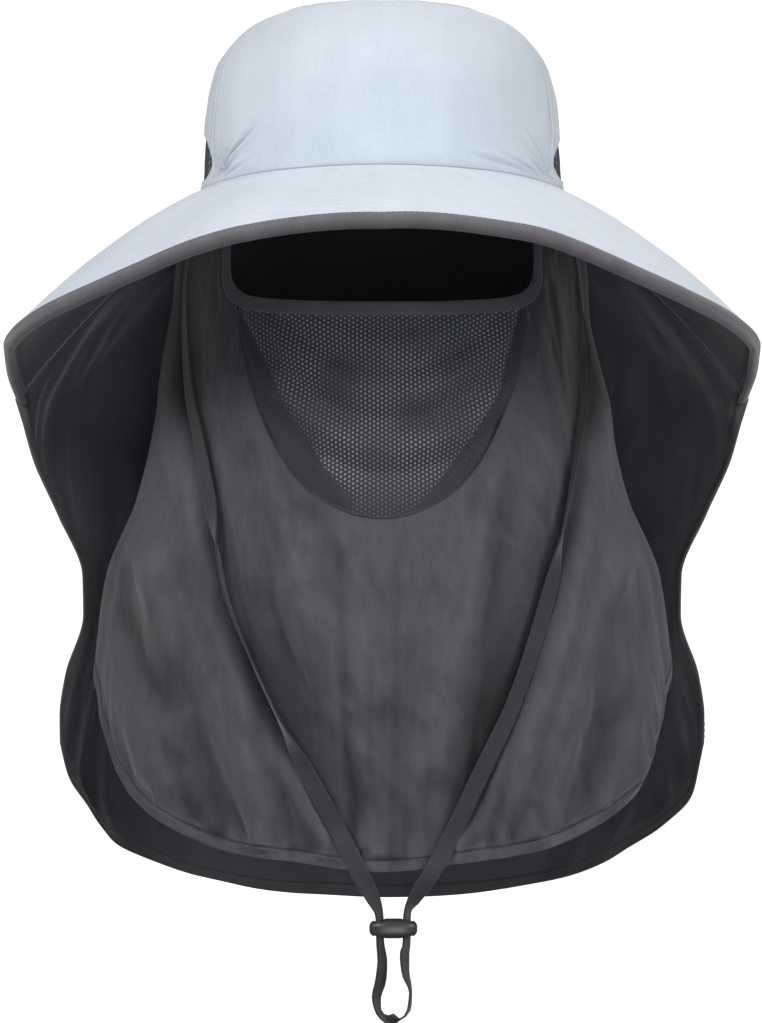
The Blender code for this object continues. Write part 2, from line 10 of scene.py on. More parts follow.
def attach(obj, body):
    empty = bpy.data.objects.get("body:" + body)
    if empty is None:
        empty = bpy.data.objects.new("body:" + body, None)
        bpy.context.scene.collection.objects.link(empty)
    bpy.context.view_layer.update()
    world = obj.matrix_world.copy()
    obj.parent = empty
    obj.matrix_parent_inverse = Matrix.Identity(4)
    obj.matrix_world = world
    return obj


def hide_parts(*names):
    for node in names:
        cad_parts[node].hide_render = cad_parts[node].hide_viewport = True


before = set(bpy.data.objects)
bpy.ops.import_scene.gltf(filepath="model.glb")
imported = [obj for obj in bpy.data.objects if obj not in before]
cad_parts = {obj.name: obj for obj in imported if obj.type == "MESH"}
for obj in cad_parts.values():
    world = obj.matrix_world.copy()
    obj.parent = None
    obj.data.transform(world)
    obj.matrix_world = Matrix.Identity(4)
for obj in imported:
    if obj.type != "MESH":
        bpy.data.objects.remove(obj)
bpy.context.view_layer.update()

scene = bpy.context.scene
mm = 0.001
print("frame loaded:", len(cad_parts), "nodes")

# the hat's own sizes, the same as the solids have
hat = {
    "halfWidth": 90 * mm, "halfDepth": 100 * mm, "crownHeight": 95.5 * mm, "crownCloth": 1.5 * mm,
    "tuck": 2.2 * mm, "seamRise": 6.5 * mm, "panelSeam": 70.0, "ventTop": 43 * mm,
    "brimHalfWidth": 188.5 * mm, "brimFront": 207 * mm, "brimDrop": 98 * mm, "brimEnd": 115.0,
    "brimWave": 1.6 * mm, "bindingWidth": 7.2 * mm,
    "flapHalfWidth": 162 * mm, "flapBack": 150 * mm, "flapLength": 361 * mm, "flapFold": 5 * mm,
    "coverHalfWidth": 147 * mm, "coverDepth": 125 * mm, "coverLength": 323.5 * mm, "coverFold": 3.5 * mm,
    "coverBack": 108.0, "coverSeat": 1 * mm, "coverTop": 3.35 * mm,
    "eyeHalfWidth": 73 * mm, "eyeDrop": 57.8 * mm, "eyeTop": 8.2 * mm, "trimWidth": 6.8 * mm,
    "windowHalfWidth": 68 * mm, "windowDrop": 159 * mm,
    "strapLift": 3.2 * mm, "grooveDepth": 4.5 * mm, "grooveWidth": 14.0,
}
# tables: shares of those sizes, angles round the head in degrees, and the strap's route in mm
crownProfile = ((0, 1, 0), (.12, .99, .15), (.26, .978, .33), (.38, .962, .49), (.48, .93, .62), (.55, .89, .7),
                (.64, .8, .8), (.73, .68, .88), (.86, .44, .955), (1, 0, 1))
tipSeam = 0.80
seamHeights = ((0, 1), (35, .77), (70, .21), (90, 0), (115, -.38), (150, -.69), (180, -.77))
ventRows = ((72, .24, .32), (74.5, .15, .44), (78, .11, .53), (86, .13, .65), (95, .14, .77), (107, .14, .91),
            (120, .14, 1), (133, .16, 1), (143, .22, .91), (149, .33, .77), (152, .44, .63))
rimRows = ((0, 0, 1, .261, .036), (20, .34, .94, .327, .041), (40, .639, .766, .49, .051),
           (60, .859, .5, .638, .061), (75, .958, .259, .743, .071), (90, .992, .039, .792, .082),
           (104, 1, -.126, .888, .092), (115, .987, -.242, 1, .102))
flapRows = ((.18, 1.086, .307, .847, .36, .222), (.33, 1.006, .287, .873, .438, .402),
            (.47, .929, .267, .887, .521, .54), (.58, .926, .26, .9, .576, .637),
            (.74, .981, .253, .933, .659, .776), (.87, 1, .267, .967, .717, .892))
flapBottom = ((0, 0, 1, 1), (.22, .269, .953, .993), (.48, .586, .773, .961), (.66, .802, .56, .911),
              (.8, .907, .427, .864), (.91, .972, .333, .814), (1, 1, .273, .756))
flapFolds = ((-.86, .06, -.7), (-.66, .07, 1), (-.4, .08, -1), (-.12, .09, .9), (.16, .08, -.9), (.42, .08, 1),
             (.66, .07, -.9), (.86, .06, .7))
coverSections = ((-.062, 0, 0), (0, 0, 0), (.105, .216, .212), (.204, .267, .5), (.309, .362, .615),
                 (.464, .569, .577), (.581, .84, .577), (.711, .925, .673), (.81, .97, .75), (.896, 1, .846),
                 (1.066, .983, 1))
coverHem = ((0, 1), (15, .988), (30, .974), (43, .943), (58, .878), (68, .805), (76, .765), (84, .725),
            (90, .7), (108, .665))
eyeEdge = ((0, 1), (.301, .997), (.575, .979), (.767, .955), (.877, .92), (.952, .856), (.992, .753), (1, .588),
           (1, .346), (1, .138))
windowEdge = ((0, 1), (.147, .99), (.279, .96), (.412, .915), (.529, .858), (.632, .781), (.728, .682),
              (.809, .571), (.875, .454), (.929, .333), (.971, .214), (1, .109))
coverFolds = ((-88, .587, 6, -.5), (-76, .618, 5, -1), (-50, .773, 6, .9), (-36, .804, 4.5, -.7),
              (-12, .742, 6, .6), (4, .773, 5, -.6), (22, .773, 6, .7), (52, .742, 5, .9), (76, .618, 5, -.9),
              (90, .556, 6, -.5))
strapLeft = ((-10, -89.0), (-30, -94.5), (-54, -97.0), (-93, -94.5), (-122, -88.5), (-151, -82.8), (-170, -79.8),
             (-193, -75.2), (-221, -64.1), (-251, -49.9), (-281, -33.5), (-313, -16.2))
strapRight = ((-10, 89.0), (-30, 95.5), (-54, 98.5), (-93, 100.0), (-122, 95.0), (-160, 88.0), (-179, 84.0),
              (-198, 79.0), (-221, 71.5), (-244, 62.2), (-270, 50.3), (-295, 38.6), (-318, 26.9))
strapLow = ((-9.0, -130.2, -326.0, 14), (-4.6, -130.0, -334.0, 40), (-1.3, -128.6, -342.5, 66),
            (-1.0, -128.0, -349.0, 66), (-0.9, -128.0, -355.5, 66), (0.1, -128.0, -364.0, 58),
            (-0.6, -128.0, -373.0, 52), (-2.6, -128.0, -381.0, 60), (-1.6, -128.0, -387.5, 75),
            (3.0, -128.0, -391.3, 85), (8.5, -128.0, -391.0, 88), (12.6, -128.0, -386.0, 80),
            (13.2, -128.0, -378.5, 84), (10.8, -128.0, -369.0, 66), (10.4, -128.0, -361.0, 58),
            (11.4, -128.0, -355.5, 66), (11.4, -128.0, -349.0, 66), (11.6, -128.6, -342.5, 66),
            (14.8, -129.8, -335.5, 44), (20.4, -130.2, -327.0, 22))


# smooth curve through a table, which never overshoots a row; its first column is the way along
def curve(rows, at):
    table = np.asarray(rows, float)
    x, y = table[:, 0], table[:, 1:]
    at = np.clip(np.asarray(at, float), x[0], x[-1])
    i = np.clip(np.searchsorted(x, at, side="right") - 1, 0, len(x) - 2)
    slope = np.diff(y, axis=0) / np.diff(x)[:, None]
    tangent = np.zeros_like(y)
    tangent[0], tangent[-1] = slope[0], slope[-1]
    both = slope[:-1] + slope[1:]
    same = slope[:-1] * slope[1:] > 0
    tangent[1:-1] = np.where(same, 2 * slope[:-1] * slope[1:] / np.where(same, both, 1), 0)
    h = np.diff(x)[i]
    t = ((at - x[i]) / h)[..., None]
    hold = (1 + 2 * t) * (1 - t) ** 2 * y[i] + t * t * (3 - 2 * t) * y[i + 1]
    return hold + h[..., None] * t * (1 - t) * ((1 - t) * tangent[i] - t * tangent[i + 1])


def mirrored(rows, odd=()):
    first = [-rows[1][0]] + [-v if c in odd else v for c, v in enumerate(rows[1]) if c > 0]
    return (tuple(first), *rows)


def lengthAlong(line):
    return np.concatenate([[0], np.cumsum(np.linalg.norm(np.diff(line, axis=0), axis=1))])


def byLength(points):
    way = lengthAlong(points)
    return np.column_stack([way / way[-1], points])


def resampled(points, count):
    return curve(byLength(points), np.linspace(0, 1, count))


def unit(vectors):
    return vectors / np.linalg.norm(vectors, axis=-1, keepdims=True)


def bump(value, middle, width):
    return np.exp(-(((value - middle) / width) ** 2))


def ease(low, high, value):
    t = np.clip((value - low) / (high - low), 0, 1)
    return t * t * (3 - 2 * t)


# soft random hills from -1 to 1 on a cloth's own width and length, each hill about size across
def softNoise(u, v, size, seed):
    sizeU, sizeV = size if isinstance(size, tuple) else (size, size)
    cells = 64
    lattice = np.random.default_rng(seed).uniform(-1, 1, (cells, cells))
    a, b = u / sizeU, v / sizeV
    i, j = np.floor(a).astype(int), np.floor(b).astype(int)
    s, t = a - i, b - j
    s, t = s ** 3 * (s * (s * 6 - 15) + 10), t ** 3 * (t * (t * 6 - 15) + 10)
    i, j, i1, j1 = i % cells, j % cells, (i + 1) % cells, (j + 1) % cells
    low = lattice[i, j] * (1 - s) + lattice[i1, j] * s
    high = lattice[i, j1] * (1 - s) + lattice[i1, j1] * s
    return low * (1 - t) + high * t


# sharp-ridged crinkles, 0 to 1
def crinkle(u, v, size, seed):
    return 1 - np.abs(softNoise(u, v, size, seed) + softNoise(u + v * 0.3, v, size, seed + 50)) / 1.3


def normalsOf(points, away):
    normal = np.cross(np.gradient(points, axis=1), np.gradient(points, axis=0))
    normal /= np.maximum(np.linalg.norm(normal, axis=2), 1e-12)[..., None]
    return normal * np.sign(np.sum(normal * (points - np.array(away)), axis=2).sum())


# width and length over the cloth, in metres, for the patterns woven into it
def clothUv(points):
    across = np.linalg.norm(np.diff(points, axis=1), axis=2)
    along = np.linalg.norm(np.diff(points, axis=0), axis=2)
    u = np.concatenate([np.zeros((len(points), 1)), np.cumsum(across, axis=1)], axis=1)
    u -= u[:, u.shape[1] // 2][:, None]
    v = np.concatenate([np.zeros((1, points.shape[1])), np.cumsum(along, axis=0)], axis=0)
    return np.stack([u, v], axis=-1)


# distance from a hanging cloth's two sides and its lower edge
def fromEdges(uv):
    u, v = uv[..., 0], uv[..., 1]
    return np.minimum.reduce([v[-1:] - v, u[:, -1:] - u, u - u[:, :1]])


def gridFaces(rows, columns):
    index = np.arange(rows * columns).reshape(rows, columns)
    return np.stack([index[:-1, :-1], index[:-1, 1:], index[1:, 1:], index[1:, :-1]], axis=-1)


def newMesh(name, points, faces, uv=None):
    mesh = bpy.data.meshes.new(name)
    mesh.from_pydata(points.reshape(-1, 3).tolist(), [], faces)
    if uv is not None:
        mesh.uv_layers.new(name="UVMap").data.foreach_set("uv", np.ravel(uv))
    return mesh


@contextmanager
def shaping(mesh):
    body = bmesh.new()
    body.from_mesh(mesh)
    yield body
    body.to_mesh(mesh)
    body.free()


def finishPiece(name, mesh, material, node=None):
    obj = bpy.data.objects.new(name, mesh)
    mesh.materials.append(material)
    mesh.shade_smooth()
    scene.collection.objects.link(obj)
    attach(obj, "root")
    if node:
        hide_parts(node)
    return obj


# a piece of cloth from a grid of points; Solidify gives it its thickness, and top closes a ring of cloth
def clothPiece(name, points, uv, material, node, thick, away, thin=None, holes=None, top=None, shades=None):
    quads = gridFaces(*points.shape[:2])
    side = np.cross(points[:-1, 1:] - points[:-1, :-1], points[1:, :-1] - points[:-1, :-1])
    turned = np.sum(side * (points[:-1, :-1] - np.array(away))) < 0
    if turned:
        quads = quads[..., ::-1]
    faces = (quads.reshape(-1, 4) if holes is None else quads[~holes]).tolist()
    spots, places = points.reshape(-1, 3), uv.reshape(-1, 2)
    if top is not None:
        last = len(spots)
        fan = [[a, a + 1, last] for a in range(last - points.shape[1], last - 1)]
        faces += [face[::-1] for face in fan] if turned else fan
        spots = np.vstack([spots, top])
        places = np.vstack([places, places[-1:]])
    mesh = newMesh(name, spots, faces, places[np.concatenate(faces)])
    for shadeName, values in (shades or {}).items():
        layer = mesh.color_attributes.new(name=shadeName, type="FLOAT_COLOR", domain="POINT")
        layer.data.foreach_set("color", np.repeat(values.ravel(), 4))
    obj = finishPiece(name, mesh, material, node)
    thicken = obj.modifiers.new("Thickness", "SOLIDIFY")
    thicken.thickness = thick
    thicken.offset = 0
    if thin is not None:
        group = obj.vertex_groups.new(name="hem")
        for weight in np.unique(np.round(thin, 2)):
            group.add(np.flatnonzero(np.round(thin.ravel(), 2) == weight).tolist(), float(weight), "REPLACE")
        thicken.vertex_group = "hem"
    with shaping(mesh) as body:
        if top is not None:
            bmesh.ops.remove_doubles(body, verts=body.verts, dist=1e-6)
        bmesh.ops.delete(body, geom=[v for v in body.verts if not v.link_faces], context="VERTS")
    return obj


# a closed band with the same profile all along a line: profile rows are (inward, up) in metres
def sweptBand(name, line, inward, up, profile, material, node=None):
    shape = np.asarray(profile, float)
    count, corners = len(line), len(shape)
    points = line[:, None] + inward[:, None] * shape[None, :, :1] + up[:, None] * shape[None, :, 1:2]
    way, girth = lengthAlong(line), lengthAlong(np.vstack([shape, shape[:1]]))
    faces, places = [], []
    for k in range(count - 1):
        for c in range(corners):
            d, here, there = (c + 1) % corners, k * corners, (k + 1) * corners
            faces.append((here + c, here + d, there + d, there + c))
            places += [(way[k], girth[c]), (way[k], girth[c + 1]),
                       (way[k + 1], girth[c + 1]), (way[k + 1], girth[c])]
    for k in (0, count - 1):
        ring = [k * corners + c for c in range(corners)]
        faces.append(tuple(ring[::-1] if k == 0 else ring))
        places += [(way[k], 0)] * corners
    mesh = newMesh(name, points, faces, places)
    with shaping(mesh) as body:
        bmesh.ops.recalc_face_normals(body, faces=body.faces)
    return finishPiece(name, mesh, material, node)


# one row of thread stitches along a line, each a small rounded bar that dips at both ends
stitchShape = {"lift": (-0.6, 0.5, 0.85, 0.5, -0.6), "girth": (0.35, 0.95, 1, 0.95, 0.35), "corners": 6}


def stitchRow(name, line, up, look, material):
    rings, corners = len(stitchShape["lift"]), stitchShape["corners"]
    count = max(2, int(lengthAlong(line)[-1] / look["pitch"]))
    shares = (np.arange(count)[:, None] + np.linspace(-0.5, 0.5, rings)[None] * look["fill"] + 0.5) / count
    whole = np.column_stack([byLength(line), up])
    rows = curve(whole, shares.ravel()).reshape(count, rings, 6)
    middle, normal = rows[..., :3], unit(rows[..., 3:])
    across = np.cross(unit(np.gradient(middle, axis=1)), normal)
    lift = np.array(stitchShape["lift"])[None, :, None] * look["height"]
    girth = np.array(stitchShape["girth"])[None, :, None, None]
    turn = np.linspace(0, 2 * math.pi, corners + 1)[:-1]
    ring = (across[:, :, None] * np.cos(turn)[None, None, :, None] * look["width"] / 2
            + normal[:, :, None] * np.sin(turn)[None, None, :, None] * look["height"] / 2) * girth
    points = (middle + normal * lift)[:, :, None] + ring
    faces = []
    for first in range(0, count * rings * corners, rings * corners):
        for base in range(first, first + (rings - 1) * corners, corners):
            for c in range(corners):
                d = (c + 1) % corners
                faces.append((base + c, base + d, base + corners + d, base + corners + c))
        faces.append(tuple(first + c for c in range(corners - 1, -1, -1)))
        faces.append(tuple(first + (rings - 1) * corners + c for c in range(corners)))
    mesh = newMesh(name, points, faces)
    mesh.uv_layers.new(name="UVMap")
    return finishPiece(name, mesh, material)


# the line on a grid that stays this far from its last row, and the way up from the cloth there
def lineFromEdge(points, normals, distance):
    steps = np.linalg.norm(np.diff(points[::-1], axis=0), axis=2)
    way = np.concatenate([np.zeros((1, points.shape[1])), np.cumsum(steps, axis=0)])
    both = np.concatenate([points, normals], axis=2)[::-1]
    out = np.array([[np.interp(distance, way[:, c], both[:, c, k]) for k in range(6)]
                    for c in range(points.shape[1])])
    return out[:, :3], out[:, 3:]


# Materials
def linear(code):
    parts = [int(code[k:k + 2], 16) / 255 for k in (1, 3, 5)]
    return tuple(p / 12.92 if p <= 0.04045 else ((p + 0.055) / 1.055) ** 2.4 for p in parts) + (1.0,)


# adds one node with its settings and links: an input is a value, a socket, or a node for its first output in use
def addNode(tree, kind, inputs=None, **settings):
    node = tree.nodes.new("ShaderNode" + kind)
    for key, value in settings.items():
        setattr(node, key, value)
    for key, value in (inputs or {}).items():
        if isinstance(value, bpy.types.Node):
            value = next(socket for socket in value.outputs if socket.enabled)
        if isinstance(value, bpy.types.NodeSocket):
            tree.links.new(value, node.inputs[key])
        else:
            node.inputs[key].default_value = value
    return node


# a cloth's thread pitch, hills, grain and blotches in mm; each cloth changes what is its own
plainCloth = {"pitch": 0.8, "weaveDepth": 0.02, "grain": 1.2, "grainDepth": 0.1, "blotch": 20, "rough": 0.7,
              "sheen": 0.2, "streak": (60, 8, 1), "streakDepth": 0.0, "ior": 1.5, "gloss": 0.35}


# woven cloth: thread hills both ways, soft blotches of colour, a fine grain and the sheen of its fibre ends
def wovenCloth(name, light, dark, pattern=None, **own):
    look = {**plainCloth, **own}
    material = bpy.data.materials.new(name)
    material.use_nodes = True
    tree = material.node_tree
    shader = tree.nodes["Principled BSDF"]
    uv = addNode(tree, "TexCoord").outputs["UV"]
    place = addNode(tree, "TexCoord").outputs["Object"]
    parts = addNode(tree, "SeparateXYZ", {0: uv})
    turns = []
    for axis, pitch in zip("XY", np.ones(2) * look["pitch"]):
        turn = addNode(tree, "Math", {0: parts.outputs[axis], 1: 2 * math.pi / (pitch * mm)},
                       operation="MULTIPLY")
        turns.append(addNode(tree, "Math", {0: turn}, operation="SINE"))
    weave = addNode(tree, "Math", {0: turns[0], 1: turns[1]}, operation="MULTIPLY")
    grain = addNode(tree, "TexNoise", {"Vector": place, "Scale": 1 / (look["grain"] * mm), "Detail": 3.0})
    blotch = addNode(tree, "TexNoise", {"Vector": place, "Scale": 1 / (look["blotch"] * mm), "Detail": 3.0,
                                        "Roughness": 0.55})
    stretch = addNode(tree, "VectorMath", {0: uv, 1: look["streak"]}, operation="MULTIPLY")
    streak = addNode(tree, "TexNoise", {"Vector": stretch, "Scale": 1.0, "Detail": 2.0})
    mixed = addNode(tree, "Math", {0: blotch, 1: streak}, operation="ADD")
    mixed = addNode(tree, "Math", {0: mixed, 1: grain}, operation="ADD")
    shade = addNode(tree, "MapRange", {"Value": mixed, "From Min": 1.1, "From Max": 1.9})
    colour = addNode(tree, "Mix", {0: shade, 6: linear(dark), 7: linear(light)}, data_type="RGBA")
    height = addNode(tree, "Math", {0: weave, 1: look["weaveDepth"] * mm}, operation="MULTIPLY")
    for hills, deep in ((grain, look["grainDepth"]), (streak, look["streakDepth"])):
        height = addNode(tree, "Math", {0: hills, 1: deep * mm, 2: height}, operation="MULTIPLY_ADD")
    if pattern:
        colour, height = pattern(tree, parts, colour, height)
    rough = addNode(tree, "MapRange", {"Value": grain, "From Min": 0.3, "From Max": 0.7,
                                       "To Min": look["rough"] - 0.06, "To Max": look["rough"] + 0.06})
    raised = addNode(tree, "Bump", {"Height": height, "Strength": 1.0, "Distance": 1.0})
    for node, socket in ((colour, "Base Color"), (rough, "Roughness"), (raised, "Normal")):
        tree.links.new(next(o for o in node.outputs if o.enabled), shader.inputs[socket])
    for socket, value in (("IOR", look["ior"]), ("Sheen Weight", look["sheen"]), ("Sheen Roughness", 0.5),
                          ("Specular IOR Level", look["gloss"])):
        shader.inputs[socket].default_value = value
    return material


# rows of lockstitch in the brim's cloth: a soft valley each pitch, with a thread that shows in short dashes; the
# colour is the thread's own in its dashes and painted shade along the valley between them
def stitchRows(tree, parts, colour, height):
    waves = []
    for axis, pitch, wave in (("Y", brimLook["rowPitch"], "COSINE"), ("X", brimLook["stitch"], "SINE")):
        turn = addNode(tree, "Math", {0: parts.outputs[axis], 1: 2 * math.pi / pitch}, operation="MULTIPLY")
        waves.append(addNode(tree, "Math", {0: turn}, operation=wave))
    valley = addNode(tree, "MapRange", {"Value": waves[0], "From Min": 0.86, "From Max": 1.0})
    dash = addNode(tree, "MapRange", {"Value": waves[1], "From Min": 0.1, "From Max": 0.6, "To Min": 1.0,
                                      "To Max": 0.35})
    line = addNode(tree, "Math", {0: valley, 1: dash}, operation="MULTIPLY")
    faint = addNode(tree, "Math", {0: line, 1: brimLook["rowShade"]}, operation="MULTIPLY")
    colour = addNode(tree, "Mix", {0: faint, 6: colour, 7: linear(brimLook["rowColour"])}, data_type="RGBA")
    return colour, addNode(tree, "Math", {0: line, 1: -brimLook["rowDepth"], 2: height}, operation="MULTIPLY_ADD")


# knitted mesh: a staggered lattice of small holes, painted light between the two creases and dark outside them
def meshDots(tree, parts, colour, height):
    spots = []
    for shift in (0.0, 0.5):
        near = []
        for axis, size in zip("XY", windowLook["cell"]):
            turn = addNode(tree, "Math", {0: parts.outputs[axis], 1: 1 / size, 2: shift},
                           operation="MULTIPLY_ADD")
            part = addNode(tree, "Math", {0: turn, 1: 1.0}, operation="FLOORED_MODULO")
            near.append(addNode(tree, "Math", {0: part, 1: size, 2: -0.5 * size}, operation="MULTIPLY_ADD"))
        place = addNode(tree, "CombineXYZ", {0: near[0], 1: near[1]})
        away = addNode(tree, "VectorMath", {0: place}, operation="LENGTH")
        spots.append(addNode(tree, "MapRange", {"Value": away, "From Min": windowLook["dot"] * 0.5,
                                                "From Max": windowLook["dot"] * 0.28}))
    dots = addNode(tree, "Math", {0: spots[0], 1: spots[1]}, operation="MAXIMUM")
    sides = [addNode(tree, "Mix", {0: dots, 6: linear(windowLook[cloth]), 7: linear(windowLook[dot])},
                     data_type="RGBA")
             for cloth, dot in (("smooth", "darkDot"), ("thread", "lightDot"))]
    inside = addNode(tree, "Attribute", attribute_name="shade").outputs["Fac"]
    colour = addNode(tree, "Mix", {0: inside, 6: sides[0], 7: sides[1]}, data_type="RGBA")
    height = addNode(tree, "Math", {0: dots, 1: -windowLook["dotDepth"], 2: height}, operation="MULTIPLY_ADD")
    return colour, height


# painted shade: creases and valleys are painted darker than the cloth, and so is the flap's inner face high
# behind the eye opening
def paintedShading(tree, parts, colour, height):
    paintedShadeAmount, depth = (addNode(tree, "Attribute", attribute_name=name).outputs["Fac"]
                      for name in ("shade", "depth"))
    normal = addNode(tree, "NewGeometry").outputs["True Normal"]
    forward = addNode(tree, "SeparateXYZ", {0: normal}).outputs["Y"]
    inner = addNode(tree, "MapRange", {"Value": forward, "From Min": -0.2, "From Max": -0.6})
    deep = addNode(tree, "Math", {0: depth, 1: inner}, operation="MULTIPLY")
    dark = addNode(tree, "Math", {0: paintedShadeAmount, 1: deep}, operation="MAXIMUM")
    return addNode(tree, "Mix", {0: dark, 6: colour, 7: (0.08, 0.08, 0.09, 1)}, data_type="RGBA",
                   blend_type="MULTIPLY"), height


brimLook = {"rowPitch": 6.8 * mm, "stitch": 3.6 * mm, "rowDepth": 0.12 * mm, "rowShade": 0.4,
            "rowColour": "#B9C4D0", "rows": 124, "columns": 340, "quilt": 0.14 * mm, "soft": 0.55 * mm,
            "thick": 1.0 * mm, "thinner": 0.8 * mm, "apart": 1.6 * mm}
windowLook = {"cell": (3.86 * mm, 2.15 * mm), "dot": 1.2 * mm, "dotDepth": 0.12 * mm, "thread": "#2A2A2E",
              "lightDot": "#868688", "smooth": "#252529", "darkDot": "#161619", "rows": 90, "columns": 121,
              "thick": 0.5 * mm}

# microfibre nylon, peached: matt and powdery, so pale blue with no glints; threads drawn 2x their 0.35 mm
crownNylon = wovenCloth("peachedNylonIceBlue", "#BFC8D0", "#B3BDC6", paintedShading, pitch=0.7, grain=1.6,
                        grainDepth=0.12, blotch=30, rough=0.78)
# the same cloth, quilted to a stiffener, its colour a little lighter than the crown's as painted light; the rows
# of lockstitch show as faint lines
brimNylon = wovenCloth("stitchedNylonIceBlue", "#C6CFD8", "#BCC5CF", stitchRows, pitch=0.7, grain=1.6, blotch=36,
                       rough=0.78)
# plain woven nylon, charcoal: nearly black, a little lighter where it turns to the light
charcoalNylon = wovenCloth("plainNylonCharcoal", "#403F45", "#323136", paintedShading, weaveDepth=0.025, grain=1.8,
                           grainDepth=0.12, blotch=28, sheen=0.25)
# thin crinkled nylon: fine upright creases that shine softly along their backs
crinkledNylon = wovenCloth("crinkledNylonCharcoal", "#454449", "#353439", paintedShading, weaveDepth=0.025, grain=1.5,
                           grainDepth=0.12, streak=(200, 60, 1), streakDepth=0.25, rough=0.6)
# folded grosgrain tape: fine ribs across its width, dark grey
bindingTape = wovenCloth("grosgrainTapeCharcoal", "#606064", "#4E4E52", pitch=(0.9, 6), weaveDepth=0.05,
                         blotch=18, rough=0.66, sheen=0.25)
# flat braided elastic round the eye opening: matt, a little darker than the tape
trimElastic = wovenCloth("braidedElasticCharcoal", "#48484D", "#3A3A3F", pitch=1.2, weaveDepth=0.04, blotch=18,
                         rough=0.68)
# knitted polyester mesh of the window
windowMeshCloth = wovenCloth("knittedMeshCharcoal", "#3C3C40", "#303034", meshDots, pitch=0.6, weaveDepth=0.015,
                             grainDepth=0.06, blotch=22)
# open knitted mesh of the vents, painted near black for the shade behind it
ventMeshCloth = wovenCloth("knittedMeshBlack", "#2F3033", "#1C1D1F", pitch=1.6, weaveDepth=0.12, grainDepth=0.06,
                           blotch=22, rough=0.8, sheen=0.1)
# soft flat polyester ribbon, woven in a rib: black, dull
ribbonWeave = wovenCloth("wovenRibbonBlack", "#29292C", "#1B1B1E", pitch=1.1, weaveDepth=0.06, grain=1.0,
                         blotch=14, rough=0.75, sheen=0.25)
# spun polyester thread, pale and charcoal: a soft shine along the twist
paleThread, darkThread = (wovenCloth(name, light, dark, pitch=0.5, grain=0.8, grainDepth=0.04, rough=0.6)
                          for name, light, dark in (("spunThreadIceBlue", "#C3CCD4", "#B4BEC8"),
                                                    ("spunThreadCharcoal", "#2A2A2D", "#1E1E20")))
# injection-moulded acetal: satin black with a soft wide highlight and a faint spark-eroded grain
lockPlastic = wovenCloth("mouldedAcetalBlack", "#363638", "#2C2C2E", pitch=3, weaveDepth=0.0, grain=0.6,
                         grainDepth=0.03, blotch=9, rough=0.4, sheen=0.0, ior=1.48, gloss=0.5)
print("materials made")


# Camera and light
camera = bpy.data.objects.new("camera", bpy.data.cameras.new("camera"))
scene.collection.objects.link(camera)
scene.camera = camera
camera.location = (-0.0005, -2.0, -0.156)
camera.rotation_euler = (math.radians(90), 0, 0)
camera.data.sensor_width = 36
camera.data.lens = 142.3
camera.data.clip_end = 50
scene.view_settings.view_transform = "Standard"

lights = (
    # name, place, width, watts
    ("keyLight", (-1.25, -1.5, 1.2), 1.0, 29),
    ("fillLight", (1.2, -1.8, 0.5), 1.4, 5),
    ("lowLight", (0.0, -1.8, -0.8), 1.0, 5),
    ("frontLight", (0.2, -2.05, -0.35), 0.8, 11),
    ("sideLightLeft", (-1.9, -0.6, 1.0), 1.2, 17),
    ("sideLightRight", (1.9, -0.9, 0.9), 1.2, 31),
    ("topLight", (0.1, 0.2, 1.9), 1.8, 5),
    ("backLight", (0.3, 1.9, 1.0), 1.6, 12),
)
hatMiddle = Vector((0, 0, -0.12))
for name, place, width, watts in lights:
    lamp = bpy.data.lights.new(name, "AREA")
    lamp.shape = "DISK"
    lamp.size = width
    lamp.energy = watts
    holder = bpy.data.objects.new(name, lamp)
    holder.location = place
    holder.rotation_euler = (hatMiddle - Vector(place)).to_track_quat("-Z", "Y").to_euler()
    scene.collection.objects.link(holder)
scene.world = bpy.data.worlds.new("studio")
scene.world.use_nodes = True
scene.world.node_tree.nodes["Background"].inputs[0].default_value = (1, 1, 1, 1)
scene.world.node_tree.nodes["Background"].inputs[1].default_value = 0.18

# plain pale floor, which rises to a round backdrop far away
stageProfile = ((0.0, -1.0), (1.5, -1.0), (3.0, -1.0), (3.6, -0.96), (4.1, -0.82), (4.5, -0.5), (4.7, 0.0),
                (4.8, 1.0), (4.8, 2.2))
turns = np.linspace(0, 2 * math.pi, 97)
fine = resampled(stageProfile, 40)
bowl = np.stack([fine[:, :1] * np.sin(turns)[None], -fine[:, :1] * np.cos(turns)[None],
                 np.repeat(fine[:, 1:], len(turns), axis=1)], axis=-1)
floorMesh = newMesh("studioFloor", bowl, gridFaces(*bowl.shape[:2]).reshape(-1, 4).tolist())
floorMesh.shade_smooth()
floorPaint = bpy.data.materials.new("paleMattPaint")
floorPaint.use_nodes = True
# it glows a little, as a lit studio sweep does, and throws no light of its own under the hat
for socket, value in (("Base Color", linear("#F2F2F2")), ("Roughness", 0.9), ("Emission Color", (1, 1, 1, 1)),
                      ("Emission Strength", 0.9)):
    floorPaint.node_tree.nodes["Principled BSDF"].inputs[socket].default_value = value
floorMesh.materials.append(floorPaint)
studioFloor = bpy.data.objects.new("studioFloor", floorMesh)
studioFloor.visible_diffuse = False
studioFloor.visible_glossy = False
scene.collection.objects.link(studioFloor)


# The hat's surfaces; angles go round the head in degrees from the front, positive to +X
def seamZ(angle):
    return curve(mirrored(seamHeights), np.abs(angle))[..., 0] * hat["seamRise"]


def crownPoint(angle, way, lift=0.0, push=0.0):
    angle, way = np.broadcast_arrays(np.asarray(angle, float), np.asarray(way, float))
    width, height = np.moveaxis(curve(crownProfile, way), -1, 0)
    base = seamZ(angle) + lift
    tuck = sum(hat["tuck"] * bump(angle, (hat["panelSeam"] - 4) * side, 9) for side in (-1, 1))
    tuck = tuck * bump(way, .09, .07)
    turn = np.radians(angle)
    inset = np.where(width > 0.02, tuck + hat["crownCloth"] / 2 - push, 0)
    x = (hat["halfWidth"] * width - inset) * np.sin(turn)
    y = -(hat["halfDepth"] * width - inset) * np.cos(turn)
    return np.stack([x, y, base + (hat["crownHeight"] - base) * height], axis=-1)


